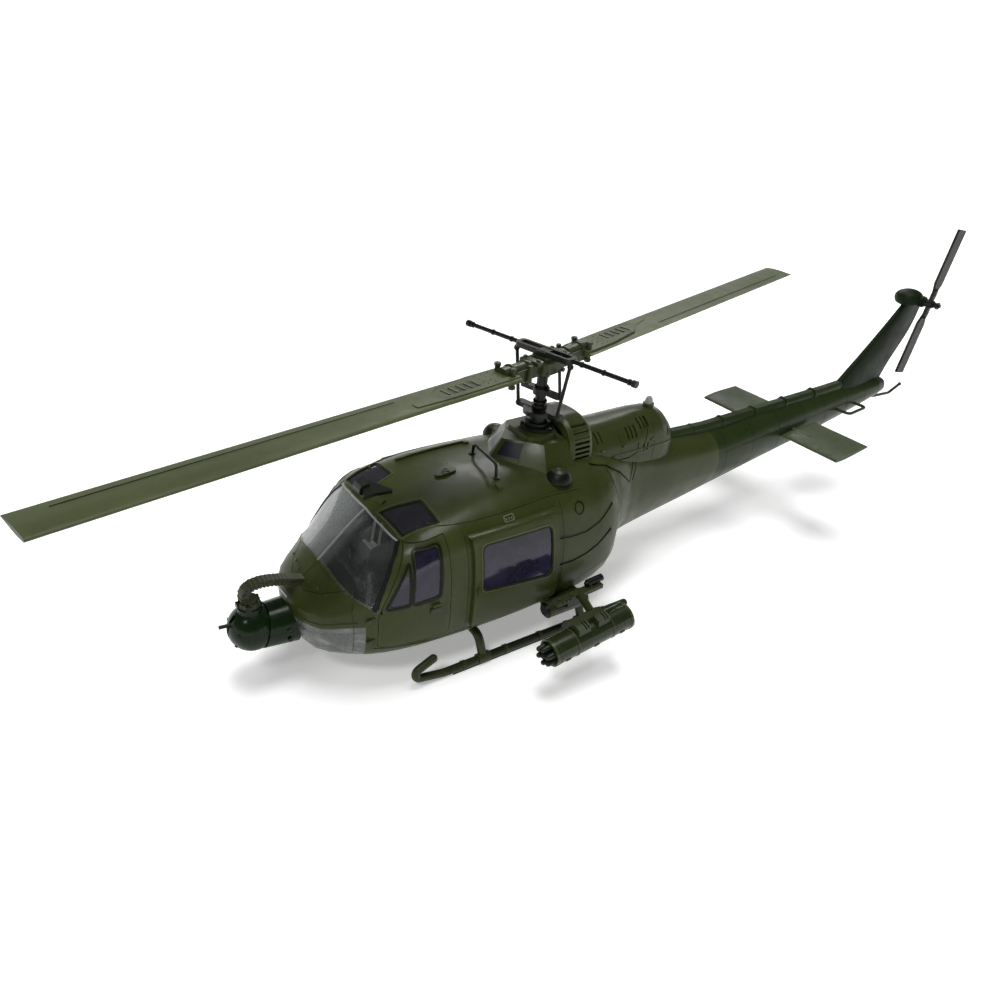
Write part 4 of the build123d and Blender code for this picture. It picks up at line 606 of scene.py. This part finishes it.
    # roof window frames and the small lamp fitting on the gutter
    sh = Shape()
    # frame lightened: painted highlight
    sh.strip([top_pt(SKIN, s * x, y) for x, y in dense(round_poly([(4.2, -53.0), (16.3, -52.4), (18.1, -41.9), (7.5, -41.9)], 0.9), 0.9, True)], 0.50, 0.26, True)
    sh.make("roof_window_frame_" + tag, "airframe", RIM_LIT)
    sh = Shape()
    sh.strip([top_pt(SKIN, s * x, y) for x, y in dense(round_poly([(5.0, -52.2), (15.6, -51.6), (17.2, -42.7), (8.1, -42.7)], 0.5), 0.9, True)], 0.55, 0.10, True, sink=0.3)
    sh.make("roof_window_rubber_" + tag, "airframe", INK)
    sh = Shape()
    fit = [(-25.3, 41.9), (-22.4, 41.95), (-22.4, 43.2), (-25.3, 43.15)]
    sh.strip([side_pt(SKIN, y, z, s) for y, z in dense(round_poly(fit, 0.3), 0.6, True)], 0.34, 0.34, True)
    for y in (-24.7, -23.9, -23.1):
        sh.strip([side_pt(SKIN, y, z, s) for z in (42.25, 42.8)], 0.3, 0.3)
    sh.make("gutter_lamp_" + tag, "airframe", LIGHTG)
    sh = Shape()
    gut = [(-56.0, 39.4), (-52.0, 42.2), (-45.0, 43.9), (-37.5, 43.9), (-8.0, 44.3), (2.0, 43.8)]
    sh.strip([side_pt(SKIN, y, z, s) for y, z in dense(gut[2:], 1.0)], 0.40, 0.30)
    sh.make("gutter_" + tag, "airframe", OLIVE)
    # blister: near-black sheet over the forward mouth, painted shade inside the open intake
    sh = Shape()
    c = W(s * 15.4, -3.1, 45.4)
    seg_u, seg_v = 14, 8
    base = len(sh.v)
    for i in range(seg_u + 1):
        az = math.radians(-75 + 150 * i / seg_u)
        for j in range(seg_v + 1):
            el = math.radians(9 + 44 * j / seg_v)
            for rr in (3.86,):
                sh.v.append(c + Vector((s * math.sin(az + 0.75) * math.cos(el), -math.cos(az + 0.75) * math.cos(el), math.sin(el))) * rr * MM)
    for i in range(seg_u):
        for j in range(seg_v):
            q = base + i * (seg_v + 1) + j
            sh.f.append((q, q + 1, q + seg_v + 2, q + seg_v + 1))
    sh.make("blister_mouth_" + tag, "airframe", INK)
    # cowl: lengthwise ridge, latches, rivets
    sh = Shape()
    sh.strip([side_pt(COWLS, y, z, s) for y, z in dense([(12.6, 44.6), (30, 44.4), (47.5, 43.4)], 1.0)], 0.55, 0.30)
    for y, z in ((17.5, 46.8), (26.0, 46.6), (38.0, 46.2)):
        pt = side_pt(COWLS, y, z, s)
        if pt:
            sh.box(pt[0] + pt[1] * 0.0001, Vector((0, 1, 0)), Vector((0, 0, 1)), pt[1], 1.3, 0.7, 0.45)
    sh.make("cowl_ridge_" + tag, "airframe", OLIVE)
    sh = Shape()
    for row in ([(13.2, 46.0), (13.2, 51.0)], [(24.2, 45.6), (24.2, 50.0)], [(32.6, 45.6), (32.6, 50.0)], [(14.0, 42.2), (45.0, 41.4)]):
        for y, z in spaced(row, 1.25):
            sh.dome(side_pt(COWLS, y, z, s), 0.12, 0.06)
    sh.make("cowl_rivets_" + tag, "airframe", RIVET)
    sh = Shape()
    for line in ([(24.9, 38.4), (24.9, 50.6)], [(39.0, 38.0), (39.0, 50.6)]):
        sh.strip([side_pt(COWLS, y, z, s) for y, z in dense(line, 1.0)], 0.20, 0.035, sink=0.02)
    sh.make("cowl_seams_" + tag, "airframe", LINE)
    # tail boom: frames, stringer line, rivets
    sh = Shape()
    for y in (76.0, 90.0, 104.0, 118.0, 131.0, 144.0, 156.0):
        zc = 29.5 + (y - 72) * 0.085
        sh.strip([around_pt(TAIL, y, math.radians(a_ * s) if s > 0 else math.radians(180 - a_), zc) for a_ in range(-84, 80, 6)], 0.20, 0.035, sink=0.02)
    sh.strip([side_pt(TAIL, y, 33.0 + (y - 76) * 0.05, s) for y in range(74, 162, 2)], 0.20, 0.035, sink=0.02)
    sh.make("boom_seams_" + tag, "airframe", LINE)
    sh = Shape()
    for y in (76.8, 90.8, 104.8, 118.8, 131.8, 144.8):
        zc = 29.5 + (y - 72) * 0.085
        for a_ in range(-70, 76, 8):
            sh.dome(around_pt(TAIL, y, math.radians(a_) if s > 0 else math.radians(180 - a_), zc), 0.12, 0.06)
    for y in [76 + 1.9 * k for k in range(44)]:
        sh.dome(side_pt(TAIL, y, 33.8 + (y - 76) * 0.05, s), 0.14, 0.08)
    for row in ([(146.0, 44.0), (166.0, 68.0)], [(163.5, 44.5), (176.0, 66.0)]):
        for y, z in spaced(row, 1.7):
            sh.dome(side_pt(FIN, y, z, s), 0.12, 0.06)
    sh.make("boom_rivets_" + tag, "airframe", BOOM_RIVET)
    # pod: rivets, bands, igniter lugs and a dark knob on the beam
    sh = Shape()
    tilt = math.radians(6.6)
    fwd = Vector((0, -math.cos(tilt), -math.sin(tilt)))
    up = Vector((0, -math.sin(tilt), math.cos(tilt)))
    rear = W(s * 43, 2.65, 15.9)
    for al in (1.4, 6.7, 18.5, 24.2):
        for k in range(24):
            t = 2 * math.pi * k / 24
            nn = Vector((s, 0, 0)) * math.cos(t) + up * math.sin(t)
            sh.dome((rear + fwd * al * MM + nn * 3.72 * MM, nn), 0.15, 0.14)
    for al in (3.8, 12.6, 22.0):
        nn = (Vector((s, 0, 0)) * 0.92 + up * -0.39).normalized()
        sh.box(rear + fwd * al * MM + nn * 3.75 * MM, fwd, nn.cross(fwd), nn, 1.5, 0.8, 0.35)
    sh.make("pod_fastenings_" + tag, "airframe", POD)
    sh = Shape()
    sh.rod(W(s * 29.4, 0.2, 18.5), W(s * 29.4, 5.4, 18.9), 1.05)
    sh.rod(W(s * 29.4, -0.6, 18.45), W(s * 29.4, 0.4, 18.5), 0.5, 1.05)
    sh.rod(W(s * 27.0, -12.4, 11.8), W(s * 27.0, -11.3, 11.8), 1.6, 2.4)
    sh.make("beam_knobs_" + tag, "airframe", INK)
    sh = Shape()
    for y in (-10.0, -6.0, 1.0, 3.6):
        sh.dome((W(s * 30.2, y, 16.85 + (y + 11.4) * 0.075), Vector((0, 0, 1))), 0.5, 0.4)
    for y in (-9.6, -8.2, -6.8):
        sh.rod(W(s * 31.3, y, 16.2 + (y + 11.4) * 0.075), W(s * 31.7, y, 16.2 + (y + 11.4) * 0.075), 0.4)
    sh.make("beam_bolts_" + tag, "airframe", OLIVE_DK)
    # skid: shoes and clamps
    sh = Shape()
    for y in (-38.0, -24.0, -12.0, -2.0, 12.0):
        sh.ring(W(s * 25.5, y, 1.35), Vector((0, 1, 0)), 1.34, 1.0, 1.1)
    for y in (-33.2, 1.8):
        for dx in (-1.2, 1.2):
            sh.dome((W(s * (25.5 + dx), y + 2.2, 2.75), Vector((0, 0, 1))), 0.4, 0.4)
    sh.make("skid_clamps_" + tag, "airframe", OLIVE_DK)
    # seat harness
    sh = Shape()
    for x in (8.6, 12.6):
        sh.strip([(W(s * x, y, z), Vector((0, -1, 0.15)).normalized()) for y, z in ((-45.75, 22.6), (-45.05, 27.0), (-44.35, 31.0), (-43.75, 34.2))], 1.0, 0.35)
    sh.strip([(W(s * x, -47.6, z), Vector((0, 0, 1))) for x, z in ((7.2, 21.75), (9.6, 21.9), (12.0, 21.9), (14.4, 21.75))], 1.1, 0.3)
    sh.strip([(W(s * x, -46.2 + 0.0, 22.0), Vector((0, -0.2, 1)).normalized()) for x in (9.0, 12.2)], 1.4, 0.4)
    sh.make("seat_harness_" + tag, "airframe", STRAP)
    # instruments
    sh = Shape()
    for x in (6.6, 10.2):
        for z in (23.0, 26.0):
            sh.ring(W(s * x, -60.2, z), Vector((0, 1, 0)), 1.3, 0.95, 0.35, 16)
    sh.make("instrument_bezels_" + tag, "airframe", SEAT)

# windscreen: lower and upper frame, centre post
sh = Shape()
low = [(-20.9, 25.6), (-16.6, 27.5), (-11.4, 29.0), (-5.5, 30.0), (0, 30.2), (5.5, 30.0), (11.4, 29.0), (16.6, 27.5), (20.9, 25.6)]
sh.strip([front_pt(SKIN, x, z) for x, z in dense(low, 0.9)], 0.50, 0.22)
sh.make("windscreen_lower_frame", "airframe", OLIVE)
sh = Shape()
upp = [(-15.8, 41.1), (-9.8, 41.8), (0, 42.2), (9.8, 41.8), (15.8, 41.1)]
sh.strip([front_pt(SKIN, x, z) for x, z in dense(upp, 0.9)], 0.6, 0.24)
sh.strip([front_pt(SKIN, 0.0, 30.2 + 0.75 * k) for k in range(17)], 0.5, 0.36)
sh.make("windscreen_centre_post", "airframe", POST)
# nose: centre seam, hood panel and fasteners
sh = Shape()
sh.strip([top_pt(SKIN, 0.0, y, 60) for y in [-73.5 + 0.8 * k for k in range(10)]], 0.22, 0.04, sink=0.02)
for line in ([(-9.0, -71.2), (-4.0, -73.6), (4.0, -73.6), (9.0, -71.2)], [(-13.6, -66.4), (-9.0, -71.2)], [(13.6, -66.4), (9.0, -71.2)]):
    sh.strip([top_pt(SKIN, x, y, 60) for x, y in dense(line, 0.9)], 0.22, 0.04, sink=0.02)
sh.make("nose_seams", "airframe", LINE)
sh = Shape()
for x in (-10.5, -7.0, -3.5, 3.5, 7.0, 10.5):
    sh.dome(top_pt(SKIN, x, -70.4 - (10.5 - abs(x)) * 0.22, 60), 0.42, 0.28)
for x, y in spaced([(-17.0, -64.6), (-8.0, -69.0)], 1.6) + spaced([(17.0, -64.6), (8.0, -69.0)], 1.6):
    sh.dome(top_pt(SKIN, x, y, 60), 0.12, 0.06)
sh.make("nose_fasteners", "airframe", RIVET)
sh = Shape()
sh.strip([side_pt(SKIN, y, z, 1) for y, z in dense([(-66.0, 22.2), (-69.5, 21.6), (-73.0, 20.6), (-76.0, 20.0)], 0.8)], 0.55, 0.22)
sh.strip([side_pt(SKIN, y, z, -1) for y, z in dense([(-66.0, 22.2), (-69.5, 21.6), (-73.0, 20.6), (-76.0, 20.0)], 0.8)], 0.55, 0.22)
sh.make("chin_sill", "airframe", OLIVE_DK)

# feed chute: ribs and wire; feed ring lugs and rivets round the turret mount
LINE_C = [(-88.3, 25.4), (-88.1, 26.8), (-87.3, 27.9), (-85.9, 28.6), (-83.6, 28.8), (-81.3, 28.5), (-79.2, 28.0), (-76.6, 27.2), (-75.4, 26.8)]
sh = Shape()
pts = spaced(LINE_C, 1.05)
for i, (y, z) in enumerate(pts[:-1]):
    y1, z1 = pts[i + 1]
    t = Vector((0, y1 - y, z1 - z)).normalized()
    up_ = Vector((0, -t.z, t.y))
    sh.box(W(0, y, z), Vector((1, 0, 0)), t, up_, 3.1, 0.40, 2.05, 0.08)
sh.make("chute_ribs", "airframe", CHUTE, smooth=False)
sh = Shape()
sh.rod(W(1.2, -79.6, 27.0), W(0.9, -77.3, 22.4), 0.17)
sh.make("chute_wire", "airframe", STRAP)
sh = Shape()
for k in range(3):
    a_ = math.radians(200 + 70 * k)
    sh.box(W(2.9 * math.cos(a_), -86.8 + 2.9 * math.sin(a_), 23.6), Vector((math.cos(a_), math.sin(a_), 0)), Vector((-math.sin(a_), math.cos(a_), 0)), Vector((0, 0, 1)), 1.1, 1.6, 1.5)
sh.make("feed_ring_lugs", "airframe", TURRET_SHADED, smooth=False)
sh = Shape()
ballc = W(0, -86.8, 15.7)
for k in range(22):
    t = 2 * math.pi * k / 22
    nn = Vector((math.cos(t), 0, math.sin(t)))
    sh.dome((W(0, -84.6, 15.2) + nn * 5.98 * MM, nn), 0.17, 0.14)
sh.make("mount_rivets", "airframe", TURRET_SHADED)

# roof: round filler ring and pylon rivets
sh = Shape()
for s in (1, -1):
    for k in range(10):
        sh.dome(side_pt(PYLON, -5.0 + 0.9 * k, 52.0, s), 0.14, 0.08)
        sh.dome(side_pt(PYLON, -6.0 + 1.0 * k, 49.4, s), 0.14, 0.08)
sh.make("pylon_rivets", "airframe", RIVET)
sh = Shape()
for xx, yy, rr in ((1.2, -30.9, 1.1),):
    sh.ring(W(xx, yy, 48.45), Vector((0, 0, 1)), rr, rr - 0.35, 0.2, 20)
sh.make("roof_vent_ring", "airframe", OLIVE_DK)

# rotor head: nuts, grip bolts, blade root bolts and seams, mast collars
psi = math.radians(13.15)
fd = Vector((math.sin(psi), -math.cos(psi), 0))
bd = Vector((math.cos(psi), math.sin(psi), 0))
hub = W(0, 0, 0)
cone = math.radians(1.71)


def rp(u, v, z):
    return hub + fd * u * MM + bd * v * MM + Vector((0, 0, z * MM))


sh = Shape()
for s in (1, -1):
    for u in (8.2, 14.0):
        sh.ring(rp(u * s, 0, 73.3 + 0.03 * u), fd * s, 2.72, 2.35, 0.6, 20)
    for u, v in ((16.2, -2.7), (16.2, 2.7)):
        sh.rod(rp(u * s, v, 75.9), rp(u * s, v, 76.6), 1.0, 0.9, seg=6)
        sh.rod(rp(u * s, v, 70.9), rp(u * s, v, 71.7), 0.9, 1.0, seg=6)
    sh.box(rp(5.6 * s, 0, 75.3), fd, bd, Vector((0, 0, 1)), 2.4, 6.4, 1.1)
    for v in (-2.3, 2.3):
        sh.rod(rp(5.6 * s, v, 75.7), rp(5.6 * s, v, 76.3), 0.6, seg=6)
    sh.rod(rp(3.2 * s, 2.0, 72.0), rp(3.2 * s, 4.4, 72.0), 0.6)
sh.make("rotor_head_fittings", "main_rotor", OLIVE_DK)
sh = Shape()
for s in (1, -1):
    ax_ = Vector((fd.x * s * math.cos(cone), fd.y * s * math.cos(cone), math.sin(cone)))
    lead = bd * s
    upn = ax_.cross(lead)
    upn = upn if upn.z > 0 else -upn
    o_ = hub + Vector((0, 0, 73.2 * MM))
    for r in (20.0, 22.6, 25.2):
        for v in (-2.6, -0.9, 0.9, 2.6):
            sh.dome((o_ + ax_ * r * MM + lead * v * MM + upn * 0.88 * MM, upn), 0.20, 0.14)
    for r in (29.3, 31.9, 34.5, 37.1):
        for v in (-1.4, 2.4):
            sh.dome((o_ + ax_ * r * MM + lead * v * MM + upn * 0.88 * MM, upn), 0.16, 0.12)
sh.make("blade_root_bolts", "main_rotor", BLADE)
sh = Shape()
for s in (1, -1):
    ax_ = Vector((fd.x * s * math.cos(cone), fd.y * s * math.cos(cone), math.sin(cone)))
    lead = bd * s
    upn = ax_.cross(lead)
    upn = upn if upn.z > 0 else -upn
    o_ = hub + Vector((0, 0, 73.2 * MM))
    sh.strip([(o_ + ax_ * r * MM - lead * 2.6 * MM + upn * 0.50 * MM, upn) for r in range(52, 136, 6)], 0.22, 0.03, sink=0.05)
sh.make("blade_seams", "main_rotor", LINE)
sh = Shape()
for s in (1, -1):
    for z in (62.2, 66.4, 70.0):
        sh.ring(hub + Vector((0, 0, z * MM)), Vector((0, 0, 1)), 1.95, 1.45, 0.5, 20)
    for v in (12.0, 19.0):
        sh.ring(rp(0, v * s, 76.7), bd * s, 0.82, 0.5, 0.45, 14)
sh.make("mast_collars", "main_rotor", DARK)
# tail rotor: grips
sh = Shape()
ta = math.radians(80.6)
td = Vector((0, math.cos(ta), math.sin(ta)))
tc = W(7.8, 172.0, 71.6)
for s in (1, -1):
    for r in (3.4, 5.0):
        sh.rod(tc + td * r * s * MM + Vector((-0.0007, 0, 0)), tc + td * r * s * MM + Vector((0.0008, 0, 0)), 0.5, seg=6)
    sh.box(tc + td * 2.6 * s * MM + Vector((0.0003, 0, 0)), td, td.cross(Vector((1, 0, 0))), Vector((1, 0, 0)), 4.0, 2.2, 0.7)
sh.make("tail_rotor_grips", "tail_rotor", DARK)
# stabilizer rivets
sh = Shape()
for s in (1, -1):
    for x in (11.0, 16.0, 21.0, 26.0):
        for k in range(9):
            yy = 107.0 + 1.5 * k
            zz = 32.6 + (yy - 112.0) * math.tan(math.radians(6.0)) + 0.72
            sh.dome((W(s * x, yy, zz), Vector((0, -0.1, 1)).normalized()), 0.15, 0.10)
sh.make("stabilizer_rivets", "tailplane", STAB)

# ------------------------------------------------------------------ floor, light, camera
bm = bmesh.new()
bmesh.ops.create_grid(bm, x_segments=1, y_segments=1, size=3.0)
ring_lo, ring_hi = [], []
for k in range(48):
    t = 2 * math.pi * k / 48
    ring_lo.append(bm.verts.new((2.9 * math.cos(t), 2.9 * math.sin(t), -0.01)))
    ring_hi.append(bm.verts.new((2.9 * math.cos(t), 2.9 * math.sin(t), 0.5)))
for k in range(48):
    l = (k + 1) % 48
    bm.faces.new((ring_lo[k], ring_hi[k], ring_hi[l], ring_lo[l]))
me = bpy.data.meshes.new("studio_floor")
bm.to_mesh(me)
floor = bpy.data.objects.new("studio_floor", me)
bpy.context.scene.collection.objects.link(floor)
fm, fnt, fb = new_mat("floor_paper")
fnt.links.new(ramp(fnt, noise(fnt, 3.0), [(0.3, 0.90), (0.7, 0.92)]), fb.inputs["Base Color"])
fb.inputs["Roughness"].default_value = 0.9
fb.inputs["Specular IOR Level"].default_value = 0.05
ln = fnt.nodes.new("ShaderNodeVectorMath")
ln.operation = "LENGTH"
fnt.links.new(coords(fnt), ln.inputs[0])
mr = fnt.nodes.new("ShaderNodeMapRange")
mr.inputs["From Min"].default_value = 0.20
mr.inputs["From Max"].default_value = 1.0
mr.inputs["To Min"].default_value = 0.30
mr.inputs["To Max"].default_value = 0.95
fnt.links.new(ln.outputs["Value"], mr.inputs["Value"])
fb.inputs["Emission Color"].default_value = (1, 1, 1, 1)
fnt.links.new(mr.outputs["Result"], fb.inputs["Emission Strength"])
me.materials.append(fm)

world = bpy.data.worlds.new("studio")
bpy.context.scene.world = world
world.use_nodes = True
world.node_tree.nodes["Background"].inputs["Color"].default_value = (1.0, 1.0, 1.0, 1)
world.node_tree.nodes["Background"].inputs["Strength"].default_value = 0.12


def area(name, loc, target, size, power, col=(1, 1, 1), size_y=None):
    d = bpy.data.lights.new(name, "AREA")
    d.shape = "DISK" if size_y is None else "RECTANGLE"
    d.size = size
    if size_y is not None:
        d.size_y = size_y
    d.energy = power
    d.color = col
    o = bpy.data.objects.new(name, d)
    bpy.context.scene.collection.objects.link(o)
    o.location = loc
    o.rotation_mode = "QUATERNION"
    o.rotation_quaternion = (Vector(target) - Vector(loc)).to_track_quat("-Z", "Y")
    return o


area("top_softbox", (-0.05, 0.05, 1.10), (0, 0, 0.03), 0.60, 8.6)
area("key_softbox", (0.30, -0.60, 0.80), (0, -0.02, 0.03), 0.20, 3.0)
area("rear_strip", (-0.55, 0.50, 0.60), (0, 0, 0.04), 0.50, 2.6, size_y=0.12)

R = Vector((0.5267314, 0.8484834, 0.0512831))
U = Vector((-0.4623610, 0.2353599, 0.8548848))
FW = Vector((-0.7132855, 0.4740059, -0.5162771))
cam_d = bpy.data.cameras.new("camera")
cam = bpy.data.objects.new("camera", cam_d)
bpy.context.scene.collection.objects.link(cam)
cam.matrix_world = Matrix((
    (R.x, U.x, -FW.x, 0.160967),
    (R.y, U.y, -FW.y, -0.133581 + MAST_Y),
    (R.z, U.z, -FW.z, 0.151919),
    (0, 0, 0, 1),
))
cam_d.sensor_width = 36.0
cam_d.lens = 805.6 * 36.0 / 1000.0
cam_d.shift_x = 0.046
cam_d.shift_y = 0.0057
cam_d.clip_start = 0.005
cam_d.clip_end = 20
bpy.context.scene.camera = cam
bpy.context.scene.view_settings.view_transform = "Standard"
